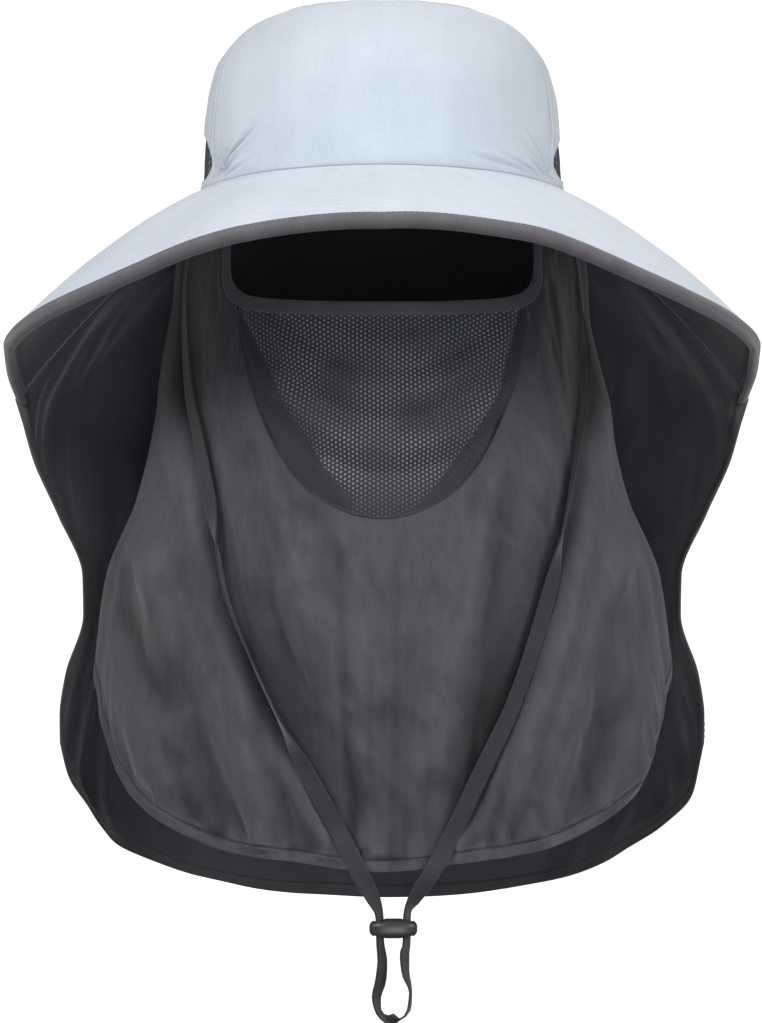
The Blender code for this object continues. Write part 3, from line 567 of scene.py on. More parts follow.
def wayAtHeight(angle, height):
    low, high = np.zeros(angle.shape), np.full(angle.shape, 0.6)
    for _ in range(26):
        middle = (low + high) / 2
        under = crownPoint(angle, middle)[..., 2] - seamZ(angle) < height
        low, high = np.where(under, middle, low), np.where(under, high, middle)
    return (low + high) / 2


def brimPoint(angle, out):
    angle, out = np.broadcast_arrays(np.asarray(angle, float), np.asarray(out, float))
    wide, front, drop, bulge = np.moveaxis(curve(mirrored(rimRows, odd=(1,)), np.abs(angle)), -1, 0)
    rim = np.stack([wide * hat["brimHalfWidth"], -front * hat["brimFront"], -drop * hat["brimDrop"]], axis=-1)
    turn = np.radians(np.abs(angle))
    inner = np.stack([hat["halfWidth"] * np.sin(turn), -hat["halfDepth"] * np.cos(turn), seamZ(angle)], axis=-1)
    flat = inner + (rim - inner) * out[..., None]
    wave = hat["brimWave"] * np.sin(np.radians(np.abs(angle) * 5.2)) * out * out
    flat[..., 2] += bulge * hat["brimDrop"] * 4 * out * (1 - out) + wave
    flat[..., 0] *= np.where(angle < 0, -1, 1)
    return flat


# the brim with the small hills of its soft cloth, the same for its two cloths and its binding
def brimSurface(angle, out):
    points = brimPoint(angle, out)
    turn = np.radians(angle) * 0.15
    hills = softNoise(turn + 3, out * 0.09 + 3, 0.045, 11) + 0.5 * softNoise(turn + 5, out * 0.09 + 5, 0.02, 12)
    points[..., 2] += hills * brimLook["soft"] * ease(0.02, 0.5, out)
    return points


# the flap hangs from the crown for most of its width, and from the brim's end for the rest
flapOnCrown = 0.62


def flapTop(share):
    angle = 180 - (180 - hat["brimEnd"] - 2.0) * np.minimum(share, flapOnCrown) / flapOnCrown
    high = crownPoint(angle, 0.0)
    high[..., 2] = seamZ(angle) + 0.6 * mm
    along = np.clip((share - flapOnCrown) / (1 - flapOnCrown), 0, 1)
    low = brimSurface(np.full(share.shape, hat["brimEnd"]), along) + (0, 2.0 * mm, 0)
    return np.where((share <= flapOnCrown)[..., None], high, low)


def flapGrid(shares, downs):
    grid = np.empty((len(downs), len(shares), 3))
    tops = flapTop(np.abs(shares))
    ends = curve(mirrored(flapBottom, odd=(1,)), np.abs(shares))
    ends = ends * (hat["flapHalfWidth"], hat["flapBack"], -hat["flapLength"])
    down, wide, backSide, backMiddle, dropSide, dropMiddle = np.array(flapRows).T
    for c, share in enumerate(shares):
        turn = math.radians(abs(share) * 90)
        x = hat["flapHalfWidth"] * wide * math.sin(turn)
        y = hat["flapBack"] * (backSide + (backMiddle - backSide) * math.cos(turn))
        z = -hat["flapLength"] * (dropMiddle + (dropSide - dropMiddle) * abs(share) ** 3)
        grid[:, c] = curve([(0.0, *tops[c]), *zip(down, x, y, z), (1.0, *ends[c])], downs)
        depth = hat["flapFold"] * sum(fold * bump(share, at, width) for at, width, fold in flapFolds)
        depth = depth * downs ** 1.3 * (1 - abs(share) ** 8)
        grid[:, c, 0] += depth * math.sin(turn)
        grid[:, c, 1] += depth * math.cos(turn)
        grid[:, c, 0] *= -1 if share < 0 else 1
    return grid


# how far out from the strap's middle a point lies, in mm, on the strap's own side of the hat
def fromStrap(path, side, x, z):
    return (x / mm - curve(path[::-1], z / mm)[..., 0]) * side


straps = ((strapLeft, -1), (strapRight, 1))


def strapGroove(x, z):
    groove = np.zeros(x.shape)
    for path, side in straps:
        near = ((x >= 0) == (side > 0)) & (z / mm > path[-1][0]) & (z / mm < path[0][0])
        groove = np.where(near, bump(fromStrap(path, side, x, z), 0, hat["grooveWidth"]), groove)
    return groove


# how far the cloth dips under the strap: steeply on its outer side, gently towards the middle of the hat
valleyLook = {"depth": 6.0 * mm, "lip": 2.0 * mm, "inner": 14.0, "outer": 5.0}


def strapValley(x, z):
    push = np.zeros(x.shape)
    for path, side in straps:
        out = fromStrap(path, side, x, z)
        held = ease(path[0][0] + 4, path[0][0] - 50, z / mm) * ease(path[-1][0] - 8, path[-1][0] + 14, z / mm)
        dip = np.where(out < 0, bump(out, 0, valleyLook["inner"]), bump(out, 0, valleyLook["outer"]))
        shift = valleyLook["lip"] * bump(out, 11, 6) - valleyLook["depth"] * dip
        push += np.where(x * side > 0, held * shift, 0)
    return push


def coverSize(z):
    wide, deep = np.moveaxis(curve(coverSections, -z / hat["coverLength"]), -1, 0)
    halfWidth, depth = hat["halfWidth"] - hat["coverSeat"], hat["halfDepth"] - hat["coverSeat"]
    return halfWidth + (hat["coverHalfWidth"] - halfWidth) * wide, depth + (hat["coverDepth"] - depth) * deep


# the face cover; its solid has a wide groove under the strap, where the cloth here has a sharper valley
def coverPoint(angle, z, solid=False):
    angle, z = np.broadcast_arrays(np.asarray(angle, float), np.asarray(z, float))
    halfWidth, depth = coverSize(z)
    turn = np.radians(angle)
    share = -z / hat["coverLength"]
    push = sum(hat["coverFold"] * fold * bump(angle, middle, width) * bump(share, deepest, 0.216)
               for middle, deepest, width, fold in coverFolds)
    if solid:
        push = push - hat["grooveDepth"] * strapGroove(halfWidth * np.sin(turn), z)
    else:
        push = push + strapValley(halfWidth * np.sin(turn), z)
    push = push + hat["coverFold"] * 0.17 * np.maximum(0, share - 0.19) * np.sin(turn * 9)
    x = (halfWidth + push) * np.sin(turn)
    y = -(depth + push) * np.cos(turn)
    y = np.where(np.abs(angle) > 90, -(hat["halfWidth"] + push) * np.cos(turn), y)
    return np.stack([x, y, z], axis=-1)


def angleOf(x, z):
    return np.degrees(np.arcsin(np.clip(x / coverSize(z)[0], -1, 1)))


def outward(points, distance):
    along = unit(np.gradient(points, axis=0))
    return points + np.column_stack([along[:, 1], -along[:, 0]]) * distance


# a line or grid of x and z drawn for the +X half, with its mirror image before it
def bothHalves(half):
    return np.concatenate([half[..., :0:-1, :] * (-1, 1), half], axis=-2)


def onCover(x, z):
    return coverPoint(angleOf(x, z), z)


eyeLine = np.array(eyeEdge) * (hat["eyeHalfWidth"], -hat["eyeDrop"])
windowLine = np.array(windowEdge) * (hat["windowHalfWidth"], hat["eyeDrop"] - hat["windowDrop"])
windowLine -= (0, hat["eyeDrop"])

# Chin strap: one flat ribbon from the left of the brim's seam, through the lock, round its loop and back up
strapLook = {"width": 8 * mm, "thick": 1.0 * mm, "stations": 300, "lean": 63.0, "leanMore": 6,
             # heights in m between which each side leans: from, fully, fully, to
             "leanLeft": (-0.150, -0.178, -0.250, -0.285), "leanRight": (-0.050, -0.085, -0.162, -0.195),
             # its profile: mm in from the edge, or a share of the half width, with a share of the half thickness
             "edge": ((0, 0.35), (0.25, 0.8), (0.8, 1)), "face": ((0.5, 0.82), (0, 0.78))}


def strapOnCover(path, count):
    z = np.linspace(path[0][0], path[-1][0], count)
    x = curve(path[::-1], z)[:, 0] * mm
    z = z * mm
    angle = angleOf(x, z)
    step = 4 * mm
    across = coverPoint(angle + 2, z, True) - coverPoint(angle - 2, z, True)
    down = coverPoint(angleOf(x, z - step), z - step, True) - coverPoint(angleOf(x, z + step), z + step, True)
    normal = unit(np.cross(across, down))
    normal *= np.where(normal[:, 1:2] > 0, -1, 1)
    return np.column_stack([coverPoint(angle, z, True) + normal * hat["strapLift"], normal])


low = np.array(strapLow)
facing = np.radians(low[:, 3])
low = np.column_stack([low[:, :3] * mm, np.sin(facing), -np.cos(facing), np.zeros(len(low))])
knots = np.vstack([strapOnCover(strapLeft, 30), low, strapOnCover(strapRight, 28)[::-1]])
even = resampled(knots * (1, 1, 1, 0.02, 0.02, 0.02), strapLook["stations"])
strapLine, strapUp = even[:, :3], unit(even[:, 3:])
along = unit(np.gradient(strapLine, axis=0))
strapAcross = unit(np.cross(along, strapUp))
# part of the way down each side the ribbon stands nearly on edge in its valley
side = np.where(strapLine[:, 0] < 3 * mm, -1.0, 1.0)
starts, full, fullTo, ends = np.where(side[:, None] < 0, strapLook["leanLeft"], strapLook["leanRight"]).T
lean = np.radians(strapLook["lean"] - strapLook["leanMore"] * side)
lean = lean * ease(starts, full, strapLine[:, 2]) * ease(ends, fullTo, strapLine[:, 2])
lateral = strapAcross * np.sign(strapAcross[:, :1]) * side[:, None]
strapUp = strapUp * np.cos(lean)[:, None] + lateral * np.sin(lean)[:, None]
strapAcross = unit(np.cross(along, strapUp))
strapUp = np.cross(strapAcross, along)
half, thin = strapLook["width"] / 2, strapLook["thick"] / 2
ribbonProfile = [(-half + x * mm, y * thin) for x, y in strapLook["edge"]]
ribbonProfile += [(-half * x, y * thin) for x, y in strapLook["face"]]
ribbonProfile += [(-x, y) for x, y in ribbonProfile[-2::-1]]
ribbonProfile += [(x, -y) for x, y in ribbonProfile[::-1]]
chinStrap = sweptBand("chinStrap", strapLine, strapAcross, strapUp, ribbonProfile, ribbonWeave,
                      "chin_strap")

# Cord lock: a moulded bean with two slots for the ribbon and a mould line round its middle
lockLook = {"size": (22.4 * mm, 14 * mm, 8.8 * mm), "slot": (5.9 * mm, 9.8 * mm), "pitch": 12.4 * mm,
            "middle": (5.2 * mm, -128 * mm, -349 * mm), "rings": 41, "corners": 72, "edge": 0.35 * mm}


def rounded(value, power):
    return np.sign(value) * np.abs(value) ** power


# rounded end to end and at its edges, flatter on its faces
def lockShape():
    sizeX, sizeY, sizeZ = (s / 2 for s in lockLook["size"])
    rise = np.linspace(-math.pi / 2, math.pi / 2, lockLook["rings"])
    turn = np.linspace(0, 2 * math.pi, lockLook["corners"] + 1)
    x = sizeX * rounded(np.cos(rise), 0.42)[:, None] * rounded(np.cos(turn), 0.62)
    y = sizeY * rounded(np.cos(rise), 0.5)[:, None] * rounded(np.sin(turn), 0.72)
    z = sizeZ * rounded(np.sin(rise), 0.8)[:, None] * np.ones(len(turn))
    mouldLine = 1 - bump(z, 0, 0.28 * mm) * 0.012
    return np.stack([x * mouldLine, y * mouldLine, z], axis=-1)


lockBody = lockShape()
mesh = newMesh("cordLock", lockBody, gridFaces(*lockBody.shape[:2]).reshape(-1, 4).tolist())
with shaping(mesh) as body:
    bmesh.ops.remove_doubles(body, verts=body.verts, dist=1e-6)
    bmesh.ops.dissolve_degenerate(body, edges=body.edges, dist=1e-7)
    bmesh.ops.recalc_face_normals(body, faces=body.faces)
mesh.transform(Matrix.Translation(lockLook["middle"]))
mesh.uv_layers.new(name="UVMap")
cordLock = finishPiece("cordLock", mesh, lockPlastic, "cord_lock")
cutters = []
for side in (-1, 1):
    cutter = bpy.data.objects.new("slotCutter", bpy.data.meshes.new("slotCutter"))
    place = Vector(lockLook["middle"]) + Vector((side * lockLook["pitch"] / 2, 0, 0))
    with shaping(cutter.data) as body:
        bmesh.ops.create_cube(body, size=1)
        bmesh.ops.scale(body, verts=body.verts, vec=(*lockLook["slot"], 0.03))
        upright = [e for e in body.edges if abs((e.verts[0].co - e.verts[1].co).z) > 0.02]
        bmesh.ops.bevel(body, geom=upright, offset=1.6 * mm, segments=6, profile=0.5, affect="EDGES")
        bmesh.ops.translate(body, verts=body.verts, vec=place)
    scene.collection.objects.link(cutter)
    cut = cordLock.modifiers.new("Slot", "BOOLEAN")
    cut.operation = "DIFFERENCE"
    cut.solver = "EXACT"
    cut.object = cutter
    cutters.append(cutter)
bpy.context.view_layer.update()
shaped = bpy.data.meshes.new_from_object(cordLock.evaluated_get(bpy.context.evaluated_depsgraph_get()))
cordLock.modifiers.clear()
cordLock.data = shaped
for cutter in cutters:
    bpy.data.objects.remove(cutter)
shaped.shade_smooth()
softEdge = cordLock.modifiers.new("Edge", "BEVEL")
softEdge.width = lockLook["edge"]
softEdge.segments = 2
softEdge.limit_method = "ANGLE"
softEdge.angle_limit = math.radians(50)
print("strap and lock made")

# Crown
crownLook = {"thick": 0.9 * mm, "soft": 0.9 * mm, "grainSoft": 0.25 * mm, "wrinkle": 2.8 * mm, "lift": 0.7 * mm,
             "turnIn": 0.9 * mm, "clothLength": 0.15,
             "stitch": {"pitch": 3.0 * mm, "fill": 0.72, "width": 0.35 * mm, "height": 0.14 * mm}}
# gathers fan out from a corner of the crown: each set of folds has its number, start, lean and share
gatherLook = {"corner": 69, "below": 2 * mm, "folds": ((33, 0, 4, 0.6), (52, 1.3, 1, 0.4)), "near": 18 * mm,
              "length": 17 * mm, "longer": 24 * mm, "uneven": 0.3}


# gathers that fan up from the seam near the crown's corners, from -1 to 1
def crownGathers(angle, way):
    u, v = np.radians(angle) * hat["halfWidth"], way * crownLook["clothLength"]
    gathers = 0.0
    for side, lean in ((-1, 0.0), (1, 0.35)):
        du = (u - side * math.radians(gatherLook["corner"]) * hat["halfWidth"]) * side
        dv = v + gatherLook["below"]
        away = np.hypot(du, dv)
        fan = np.arctan2(-du, dv)
        folds = sum(share * np.sin(fan * count + start + lean * turn)
                    for count, start, turn, share in gatherLook["folds"])
        long = gatherLook["length"] + gatherLook["longer"] * np.clip(fan, 0, 1.4)
        long = long * (0.85 + gatherLook["uneven"] * np.sin(fan * 9 + lean * 3))
        held = np.minimum(away / gatherLook["near"], 1) * np.exp(-(away / long) ** 3) * (du < gatherLook["below"])
        gathers = gathers + folds * held
    return gathers * ease(0.0, 0.05, way)


# the crown's surface with its soft dents and the gathers
def crownGrid(angle, way, sunk=0.0):
    u, v = np.radians(angle) * hat["halfWidth"], way * crownLook["clothLength"]
    push = crownLook["soft"] * softNoise(u + 2, v + 2, 0.04, 21)
    push = push + crownLook["grainSoft"] * softNoise(u + 2, v, 0.011, 22)
    push = push + crownLook["wrinkle"] * crownGathers(angle, way)
    push = push * ease(0.0, 0.05, way) * ease(0, 0.05, np.abs(way - tipSeam))
    return crownPoint(angle, way, crownLook["lift"], push - sunk)


# a side panel of the crown, with edges that turn in where they are sewn
def crownPanel(name, node, angles, ways, holes=None, shades=None):
    points = crownGrid(angles, ways)
    turnIn = 0.4 * bump(np.abs(angles), hat["panelSeam"], 0.9)
    turnIn = turnIn + bump(ways, tipSeam, 0.006) + 0.6 * bump(ways, 0, 0.008)
    points -= normalsOf(points, (0, 0, 0.02)) * (turnIn * crownLook["turnIn"])[..., None]
    clothPiece(name, points, clothUv(points), crownNylon, node, crownLook["thick"], (0, 0, 0.02),
               holes=holes, shades=shades)


seamEase = math.degrees(0.2 * mm / hat["halfWidth"])
frontEdge, topWay = hat["panelSeam"] - seamEase, tipSeam - 0.002
frontWays = np.concatenate([np.linspace(0, 0.05, 8)[:-1], np.linspace(0.05, topWay, 96)])
angles, ways = np.meshgrid(np.linspace(-frontEdge, frontEdge, 181), frontWays)
# painted shade: the gathers' valleys are painted darker through the shade attribute
crownPanel("crownFront", "crown_front", angles, ways,
           shades={"shade": 0.45 * np.clip(-crownGathers(angles, ways) * 1.6 - 0.15, 0, 1)})

# the back panel goes round behind, in three blocks of rows: below, beside and above the vents
ventAngles = np.array(ventRows)[:, 0]
half = np.concatenate([np.linspace(hat["panelSeam"] + seamEase, ventAngles[0], 9)[:-1],
                       np.linspace(ventAngles[0], ventAngles[-1], 90), np.linspace(ventAngles[-1], 180, 36)[1:]])
signed = np.concatenate([half, -half[-2::-1]])
heights = curve(ventRows, np.abs(signed)).T * hat["ventTop"]
lowWay, highWay = (wayAtHeight(np.abs(signed), height) for height in heights)
below, beside, above = (np.linspace(0, 1, count)[:, None] for count in (17, 25, 41))
ways = np.vstack([below * lowWay, (lowWay + (highWay - lowWay) * beside)[1:],
                  (highWay + (topWay - highWay) * above)[1:]])
middles = np.abs(signed[:-1] + signed[1:]) / 2
holes = np.zeros((ways.shape[0] - 1, ways.shape[1] - 1), bool)
holes[16:40] = (middles > ventAngles[0]) & (middles < ventAngles[-1])
crownPanel("crownBack", "crown_back", np.broadcast_to(signed, ways.shape), ways, holes)

angles, ways = np.meshgrid(np.linspace(-180, 180, 181), np.linspace(tipSeam + 0.002, 0.985, 40))
points = crownGrid(angles, ways)
roll = bump(ways, tipSeam + 0.016, 0.014) * 0.45 * mm - bump(ways, tipSeam, 0.005) * 0.8 * mm
points += normalsOf(points, (0, 0, 0)) * roll[..., None]
points[:, -1] = points[:, 0]
clothPiece("crownTop", points, points[..., :2], crownNylon, "crown_top", crownLook["thick"],
           (0, 0, 0), top=[[0, 0, hat["crownHeight"]]])
line = crownGrid(np.linspace(-180, 180, 361), tipSeam + 0.02)
up = unit(line / (hat["halfWidth"], hat["halfDepth"], 0.05))
stitchRow("tipSeamStitching", line + up * 0.7 * mm, up, crownLook["stitch"], paleThread)
for side, name in ((1, "Left"), (-1, "Right")):
    for shift, part in ((1.9, "Back"), (-1.9, "Front")):
        line = crownGrid(side * (hat["panelSeam"] + shift), np.linspace(0.02, tipSeam - 0.02, 80))
        up = unit(line * (1, 0.81, 0) + (0, 0, 0.01))
        stitchRow(f"panelStitching{part}{name}", line + up * 0.5 * mm, up, crownLook["stitch"], paleThread)
print("crown made")

# Vents: open knitted mesh set into the crown's sides
ventLook = {"thick": 0.5 * mm, "sunk": 0.9 * mm, "overlap": 2 * mm, "overlapAngle": 1.4, "rim": 0.012}
ventLine = np.linspace(ventAngles[0] - ventLook["overlapAngle"], ventAngles[-1] + ventLook["overlapAngle"], 90)
low, high = curve(ventRows, ventLine).T * hat["ventTop"]
low, high = wayAtHeight(ventLine, low - ventLook["overlap"]), wayAtHeight(ventLine, high + ventLook["overlap"])
ways = low + (high - low) * np.linspace(0, 1, 40)[:, None]
rimAngles = np.concatenate([ventLine[3:-3], ventLine[-4:2:-1], ventLine[3:4]])
rimWays = np.concatenate([high[3:-3] + ventLook["rim"], low[-4:2:-1] - ventLook["rim"],
                          high[3:4] + ventLook["rim"]])
for side, name in ((1, "Right"), (-1, "Left")):
    points = crownGrid(np.broadcast_to(side * ventLine, ways.shape), ways, ventLook["sunk"])
    clothPiece("vent" + name, points, clothUv(points), ventMeshCloth, "vent_" + name.lower(),
               ventLook["thick"], (0, 0, 0.02))
    line = crownGrid(side * rimAngles, rimWays)
    up = unit(line * (1, 0.81, 0))
    stitchRow(f"vent{name}Stitching", line + up * 0.45 * mm, up, crownLook["stitch"], paleThread)
print("vents made")

# Brim: pale cloth on top, charcoal below, quilted together in rows along the rim
brimAngles = np.linspace(-hat["brimEnd"], hat["brimEnd"], brimLook["columns"])
brimLengths = np.linalg.norm(brimPoint(brimAngles, 1.0) - brimPoint(brimAngles, 0.0), axis=1)
starts = -1.2 * mm / brimLengths
ends = 1 - (hat["bindingWidth"] - 4.0 * mm) / brimLengths
outs = starts + (ends - starts) * np.linspace(0, 1, brimLook["rows"])[:, None]
points = brimSurface(np.broadcast_to(brimAngles, outs.shape), outs)
normals = normalsOf(points, (0, 0, -1))
fromRim = (1 - outs) * brimLengths
rimWay = lengthAlong(brimSurface(brimAngles, 1.0))
uv = np.stack([np.broadcast_to(rimWay, outs.shape), fromRim], axis=-1)
quilt = brimLook["quilt"] * (1 - 2 * np.maximum(0, np.cos(2 * math.pi * fromRim / brimLook["rowPitch"])) ** 6)
quilt = (quilt * ease(0.004, 0.012, outs * brimLengths))[..., None]
clothPiece("brimTop", points + normals * quilt, uv, brimNylon, "brim_top", brimLook["thick"],
           (0, 0, -1))
lower = points - normals * (brimLook["apart"] + quilt * 0.6)
clothPiece("brimUnderside", lower[::2, ::2], uv[::2, ::2], charcoalNylon, "brim_underside",
           brimLook["thinner"], (0, 0, -1))
print("brim made")

# Binding: tape folded over the rim, with a row of stitches near its inner edge
bindingLook = {"profile": ((5.4, 0.2), (5.3, 0.75), (4.7, 0.95), (3.6, 0.98), (2.4, 0.85), (1.3, .45), (.45, -.3),
                           (0, -1.3), (-.15, -2.5), (0, -3.8), (.45, -5.0), (1.2, -5.9), (2.2, -6.2),
                           (3.1, -5.8), (3.5, -4.9), (3.7, -3.8), (4.3, -2.9), (5.6, -2.6), (7.0, -2.5),
                           (7.2, -2.0), (7.2, -1.0)),
               "stitch": {"pitch": 2.6 * mm, "fill": 0.68, "width": 0.35 * mm, "height": 0.22 * mm},
               "beside": {"pitch": 3.4 * mm, "fill": 0.5, "width": 0.35 * mm, "height": 0.16 * mm}}
bindAngles = np.linspace(-hat["brimEnd"], hat["brimEnd"], 460)
rimLine = brimSurface(bindAngles, 1.0)
lengths = np.linalg.norm(brimPoint(bindAngles, 1.0) - brimPoint(bindAngles, 0.0), axis=1)
inside = unit(brimSurface(bindAngles, 1 - hat["bindingWidth"] / lengths) - rimLine)
up = unit(np.cross(np.gradient(rimLine, axis=0), inside))
up *= np.where(up[:, 2:] < 0, -1, 1)
sweptBand("brimBinding", rimLine, inside, up, np.array(bindingLook["profile"]) * mm, bindingTape,
          "brim_binding")
stitchRow("bindingStitching", rimLine + inside * 3.5 * mm + up * 0.92 * mm, up, bindingLook["stitch"], darkThread)
# the row of thread that holds the brim's two cloths together beside the tape
line = brimSurface(bindAngles, 1 - 9.5 * mm / lengths)
stitchRow("brimEdgeStitching", line + up * 0.45 * mm, up, bindingLook["beside"], darkThread)
print("binding made")


# two rows of stitches along a hem, one on each face of the cloth; they stop short of the corners
def hemStitching(name, points, normals, look, fromEnds):
    line, up = (part[fromEnds:-fromEnds] for part in lineFromEdge(points, normals, look["stitchAt"]))
    return [stitchRow(name + face, line + up * sign * look["stitchLift"], up * sign, look["stitch"],
                      darkThread)
            for face, sign in (("Out", 1), ("In", -1))]


# Neck flap
flapLook = {"thick": 1.5 * mm, "thin": 0.45, "hem": 7.5 * mm, "soft": 2.8 * mm, "softSize": (0.022, 0.022),
            "fine": 1.0 * mm, "fineSize": (0.012, 0.03), "calmEdge": 20 * mm, "calmTop": 0.12, "valley": 0.9 * mm,
            "middle": (0, 0, -0.15), "stitchAt": 6.5 * mm, "stitchLift": 0.62 * mm,
            "stitch": {"pitch": 3.2 * mm, "fill": 0.66, "width": 0.45 * mm, "height": 0.3 * mm}}
shares = np.concatenate([np.linspace(-1, -0.96, 9)[:-1], np.linspace(-0.96, 0.96, 214),
                         np.linspace(0.96, 1, 9)[1:]])
downs = np.concatenate([np.linspace(0, 0.966, 150)[:-1], np.linspace(0.966, 1, 12)])
points = flapGrid(shares, downs)
uv = clothUv(points)
edge = fromEdges(uv)
hills = flapLook["soft"] * softNoise(uv[..., 0] + 1, uv[..., 1] * 0.45 + 1, flapLook["softSize"], 31)
hills += flapLook["fine"] * crinkle(uv[..., 0] + 1, uv[..., 1] + 1, flapLook["fineSize"], 32)
hills *= ease(0, flapLook["calmEdge"], edge) * ease(0, flapLook["calmTop"], downs[:, None])
points += normalsOf(points, flapLook["middle"]) * hills[..., None]
normals = normalsOf(points, flapLook["middle"])
hem = 1 - ease(flapLook["hem"] - 1.2 * mm, flapLook["hem"], edge)
valley = bump(edge, flapLook["hem"] - flapLook["valley"], flapLook["valley"])
weights = np.clip(flapLook["thin"] + (1 - flapLook["thin"]) * hem - 0.3 * valley, 0.2, 1)
# painted shade: the valley beside the hem and the lowest cloth are painted darker, and so is the cloth high
# behind the eye opening, on its inner face
paintedShadeAmount = np.maximum(0.8 * valley, 0.25 * ease(-0.26, -0.33, points[..., 2]))
deep = 0.93 * ease(-0.085, -0.06, points[..., 2]) * ease(0.112, 0.09, np.abs(points[..., 0]))
neckFlap = clothPiece("neckFlap", points, uv, charcoalNylon, "neck_flap", flapLook["thick"],
                      flapLook["middle"], thin=weights, shades={"shade": paintedShadeAmount, "depth": deep})
fromSide, sideNormals = np.swapaxes(points, 0, 1), np.swapaxes(normals, 0, 1)
flapThreads = hemStitching("flapHemStitching", points, normals, flapLook, 8)
flapThreads += hemStitching("flapEdgeRightStitching", fromSide, sideNormals, flapLook, 12)
flapThreads += hemStitching("flapEdgeLeftStitching", fromSide[::-1], sideNormals[::-1], flapLook,
                            12)
print("neck flap made")

# Face cover
# soft creases of the hanging cloth, seen from the front: x and z of both ends, width and height, in mm
coverCreases = ((-41, -195, -6, -240, 9, 2.2), (-36, -165, -29, -188, 7, 1.2),
                (-57, -200, -15, -292, 9, -2.4), (-107, -252, -97, -282, 7, 1.6),
                (-88, -264, -74, -303, 6, -2.0), (-64, -245, -54, -308, 7, 1.8),
                (-48, -282, -38, -315, 5, -1.6), (-128, -198, -109, -245, 7, -1.4),
                (-109, -170, -102, -217, 9, 1.4), (62, -155, 36, -282, 10, -2.4),
                (50, -170, 27, -273, 8, 1.8), (25, -273, 11, -311, 6, -1.6), (93, -177, 77, -273, 9, 2.0),
                (109, -207, 102, -282, 8, -1.5), (121, -198, 116, -245, 7, 1.2),
                (84, -264, 65, -313, 6, -1.5), (1, -179, -2, -245, 14, 1.0), (13, -198, 18, -264, 10, -1.0))
coverLook = {"thick": 1.5 * mm, "thin": 0.42, "hem": 5.5 * mm, "soft": 1.5 * mm, "streak": 0.45 * mm,
             "fine": 1.0 * mm, "pucker": 2.6 * mm, "drape": 2.52 * mm, "crease": 1.9, "valley": 0.5 * mm,
             "softSize": (0.018, 0.018), "streakSize": (0.008, 0.03), "fineSize": (0.007, 0.02),
             "drapeSize": (0.019, 0.13), "drapeFine": (0.01, 0.06), "drapeFrom": -0.09, "drapeTo": -0.19,
             "middle": (0, 0.05, -0.15), "stitchAt": 4.6 * mm, "stitchLift": 0.45 * mm,
             "stitch": {"pitch": 2.6 * mm, "fill": 0.66, "width": 0.4 * mm, "height": 0.25 * mm}}

# how much painted shade darkens the cloth in its folds, under the brim, at its sides, at the hem and beside the
# strap
coverShade = {"pucker": 0.35, "drape": 0.45, "crease": 0.12, "brim": 0.5, "sides": 0.36, "hem": 0.75,
              "strapInner": 0.5, "strapOuter": 0.8, "strapWidths": (6.0, 17.0), "strapEdge": 6.0}


# the cover's upper edge on the +X half, in angle and height: window, eye opening's side, brim's seam
def coverUpper():
    trimInner = resampled(eyeLine, 60)
    reach = 0.5 + 0.5 * ease(-0.022, -0.05, trimInner[:, 1:])
    clothEdge = trimInner + (outward(trimInner, hat["trimWidth"] - 1.2 * mm) - trimInner) * reach
    beside = [(x, z) for x, z in clothEdge
              if x > hat["windowHalfWidth"] + 1.0 * mm and -0.062 < z < -hat["eyeTop"]]
    beside.append((beside[-1][0], -hat["eyeTop"] + 1.5 * mm))
    x, z = np.vstack([resampled(windowLine, 70), beside]).T
    front = np.column_stack([angleOf(x, z), z])
    seam = np.linspace(front[-1, 0] + 2, hat["coverBack"], 34)
    return np.vstack([front, np.column_stack([seam, seamZ(seam) - hat["coverTop"]])])


upperLine = coverUpper()
wayDown = np.concatenate([np.linspace(0, 0.962, 150)[:-1], np.linspace(0.962, 1, 22)])[:, None]
hemAngle = hat["coverBack"] * byLength(upperLine * (hat["coverHalfWidth"] * 0.013, 1))[:, 0] ** 0.93
hemLine = np.column_stack([hemAngle, -hat["coverLength"] * curve(mirrored(coverHem), hemAngle)])
half = upperLine + (hemLine - upperLine) * wayDown[..., None]
coverAngles, coverZ = np.moveaxis(bothHalves(half), -1, 0)
points = coverPoint(coverAngles, coverZ)
x, y, z = np.moveaxis(points, -1, 0)
uv = clothUv(points)
edge = fromEdges(uv)
roundWay = np.radians(coverAngles) * 0.12
hills = coverLook["soft"] * softNoise(roundWay + 2, z * 0.6 + roundWay * 0.3 + 2, coverLook["softSize"], 41)
hills += coverLook["streak"] * softNoise(roundWay + 2, z + 2, coverLook["streakSize"], 42)
hills += coverLook["fine"] * crinkle(roundWay + z * 0.2 + 2, z + 2, coverLook["fineSize"], 43)
# long soft folds that lean in towards the middle of the hem, as the strap draws the cloth
leaning = x - 0.42 * z * np.tanh(x / 0.045)
drape = softNoise(leaning + 3, z + 3, coverLook["drapeSize"], 46)
drape += 0.5 * softNoise(leaning + 6, z + 5, coverLook["drapeFine"], 47)
hanging = ease(coverLook["drapeFrom"], coverLook["drapeTo"], z)
hills += coverLook["drape"] * drape * hanging * (0.45 + 0.55 * ease(0.01, 0.05, np.abs(x)))
creased = np.zeros(edge.shape)
for x0, z0, x1, z1, wide, tall in coverCreases:
    start, way = np.array([x0, z0]) * mm, np.array([x1 - x0, z1 - z0]) * mm
    far = points[..., ::2] - start
    share = np.clip(np.sum(far * way, axis=-1) / np.sum(way * way), 0, 1)
    off = np.linalg.norm(far - share[..., None] * way, axis=-1)
    near = bump(off, 0, wide * mm * (0.9 + 0.6 * share)) * (y < 0)
    creased += coverLook["crease"] * tall * near * ease(-0.3, 0.4, share)
hills += creased * mm
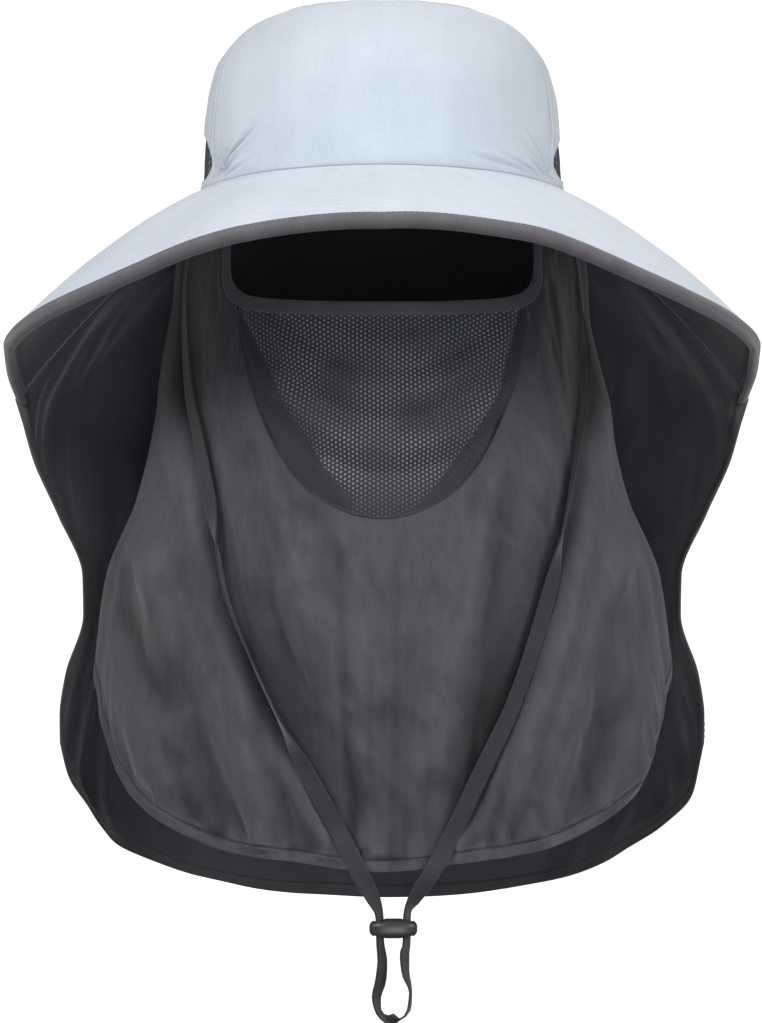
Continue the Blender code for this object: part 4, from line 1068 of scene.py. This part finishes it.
# the hem's stitching draws the cloth above it into short puckers
drawn = softNoise(roundWay + 4, z * 0.15, 0.0075, 44)
drawn += 0.6 * softNoise(roundWay + z * 0.25 + 7, z * 0.1, 0.005, 45)
drawn *= ease(0.004, 0.009, edge) * np.exp(-np.maximum(0, edge - 0.006) / 0.014)
hills += coverLook["pucker"] * drawn
# painted shade: the folds' bottoms are painted darker, and so are the cloth that the brim shades most and the
# cloth at the sides
foldShade = coverShade["pucker"] * np.clip(-drawn, 0, 1) + coverShade["drape"] * np.clip(-drape, 0, 1) * hanging
foldShade += coverShade["crease"] * np.clip(-creased, 0, 4) + coverShade["brim"] * ease(-0.14, -0.05, z)
foldShade += coverShade["sides"] * ease(40, 75, np.abs(coverAngles))
# the cloth lies calm at its edges, under the strap and round at the sides
hills *= ease(0, 0.007, edge) * ease(0, 0.1, wayDown)
hills *= (1 - 0.6 * strapGroove(x, z)) * (0.15 + 0.85 * ease(82, 50, np.abs(coverAngles)))
points = points + normalsOf(points, coverLook["middle"]) * hills[..., None]
normals = normalsOf(points, coverLook["middle"])
hem = 1 - ease(coverLook["hem"] - 1.0 * mm, coverLook["hem"], edge)
valley = bump(edge, coverLook["hem"] + 0.1 * mm, coverLook["valley"])
weights = np.clip(coverLook["thin"] + (1 - coverLook["thin"]) * hem - 0.5 * valley, 0.1, 1)
# painted shade in the valley beside the strap: wide towards the middle of the hat, a thin line on its outer side
x, y, z = np.moveaxis(points, -1, 0)
strapShade = np.zeros(edge.shape)
for (path, side), inner in zip(straps, coverShade["strapWidths"]):
    out = fromStrap(path, side, x, z)
    held = ease(path[0][0], path[0][0] - 30, z / mm) * ease(-300, -235, z / mm)
    outer = coverShade["strapOuter"] * bump(out, 0, coverShade["strapEdge"])
    dark = np.where(out < 0, coverShade["strapInner"] * bump(out, 0, inner), outer)
    strapShade += np.where((x * side > 0) & (y < 0), held * dark, 0)
faceCover = clothPiece("faceCover", points, uv, crinkledNylon, "face_cover", coverLook["thick"],
                       coverLook["middle"], thin=weights,
                       shades={"shade": np.clip(coverShade["hem"] * valley + strapShade + foldShade, 0, 1)})
coverThreads = hemStitching("coverHemStitching", points, normals, coverLook, 4)
print("face cover made")

# Mesh window, with two creases that run down to its lower middle: x and z in mm
windowCreases = (((-68.0, -56), (-66.7, -63.9), (-57.3, -82), (-41, -113), (-28.0, -134), (-14, -150)),
                 ((66.5, -56), (62.5, -71.0), (55.4, -99.2), (41.3, -122.7), (27.2, -141.5), (14, -156)))
# soft swags between its top corners: height in m, depth and width in mm
windowSwags = ((-0.078, 1.2, 5), (-0.089, -1.8, 4), (-0.101, 1.6, 5), (-0.114, -2.4, 5), (-0.127, 1.8, 5),
               (-0.139, -1.6, 4))
columnShare = np.linspace(0, 1, (windowLook["columns"] + 1) // 2)
rowShare = np.linspace(0, 1, windowLook["rows"])[:, None]
topLine = outward(resampled(eyeLine, 120), hat["trimWidth"] - 1.5 * mm)
topLine = topLine[topLine[:, 0] < hat["windowHalfWidth"] * 1.03]
topX = columnShare ** 0.8 * (hat["windowHalfWidth"] + 0.6 * mm)
top = np.column_stack([topX, curve(topLine, topX)])
bottom = resampled(outward(resampled(windowLine, 61), 1.6 * mm), len(columnShare))
half = top + (bottom - top) * rowShare[..., None]
half[:, 0, 0] = 0
x, z = np.moveaxis(bothHalves(half), -1, 0)
points = onCover(x, z)
leftAt, rightAt = (np.interp(z, *np.array(crease[::-1]).T[::-1] * mm) for crease in windowCreases)
soft = 0.7 * mm * softNoise(x + 1, z + 1, 0.02, 51)
for at, away in ((leftAt, -4 * mm), (rightAt, 4 * mm)):
    soft += 0.5 * mm * bump(x, at + away, 3 * mm) - 0.9 * mm * bump(x, at, 1.6 * mm)
sag = z - (x - 4 * mm) ** 2 * 9.5
for height, depth, width in windowSwags:
    soft += depth * mm * bump(sag, height, width * mm) * ease(0.066, 0.04, np.abs(x))
soft = soft * ease(0, 0.06, np.minimum(rowShare, 1 - rowShare)) - 0.45 * mm
points += normalsOf(points, (0, 0.05, -0.1)) * soft[..., None]
# painted light: the holes are painted pale between the creases, darker towards the bottom and unevenly, and dark
# outside them
lit = ease(-0.8 * mm, 0.8 * mm, x - leftAt) * ease(-0.8 * mm, 0.8 * mm, rightAt - x)
lit = lit * (1 - 0.65 * ease(-0.135, -0.158, z)) * (0.72 + 0.5 * softNoise(x + 2, z + 2, 0.018, 52))
windowMesh = clothPiece("windowMesh", points, np.stack([x, z], axis=-1), windowMeshCloth,
                        "window_mesh", windowLook["thick"], (0, 0.05, -0.1), shades={"shade": lit})
seam = resampled(onCover(*bothHalves(windowLine).T), 160)
up = unit(seam * (1, 1.2, 0) - (0, 0.01, 0))
across = unit(np.cross(np.gradient(seam, axis=0), up))
cordShape = [(0.55 * mm * math.cos(a), 0.4 * mm * math.sin(a)) for a in np.linspace(0, 2 * math.pi, 9)[:-1]]
windowSeam = sweptBand("windowSeam", seam + up * 0.25 * mm, across, up, cordShape, darkThread)
print("window made")

# Elastic binding of the eye opening, narrower at its sides
trimLook = {"side": 0.62,
            "profile": ((0, 0), (.15, .75), (.7, 1.15), (2, 1.2), (3.4, 1.1), (4.9, 1.2), (6.1, 1.1), (6.7, .7),
                        (6.8, 0), (6.7, -.7), (6.1, -1.1), (3.4, -1.2), (.7, -1.1), (.15, -.7))}
inner = resampled(eyeLine, 90)
outer = outward(inner, hat["trimWidth"])
narrow = trimLook["side"] + (1 - trimLook["side"]) * ease(-0.022, -0.05, inner[:, 1:])
highest = (1, -hat["eyeTop"] + 2 * mm)
inner, outer = (onCover(*bothHalves(np.minimum(line, highest)).T) for line in (inner, outer))
wide = unit(outer - inner)
up = unit(np.cross(np.gradient(inner, axis=0), wide))
up *= np.where(np.sum(up * inner * (1, 1, 0), axis=1) < 0, -1, 1)[:, None]
wide = wide * np.concatenate([narrow[:0:-1], narrow])
sweptBand("eyeTrim", inner, wide, up, np.array(trimLook["profile"]) * mm, trimElastic, "eye_trim")
print("eye trim made")
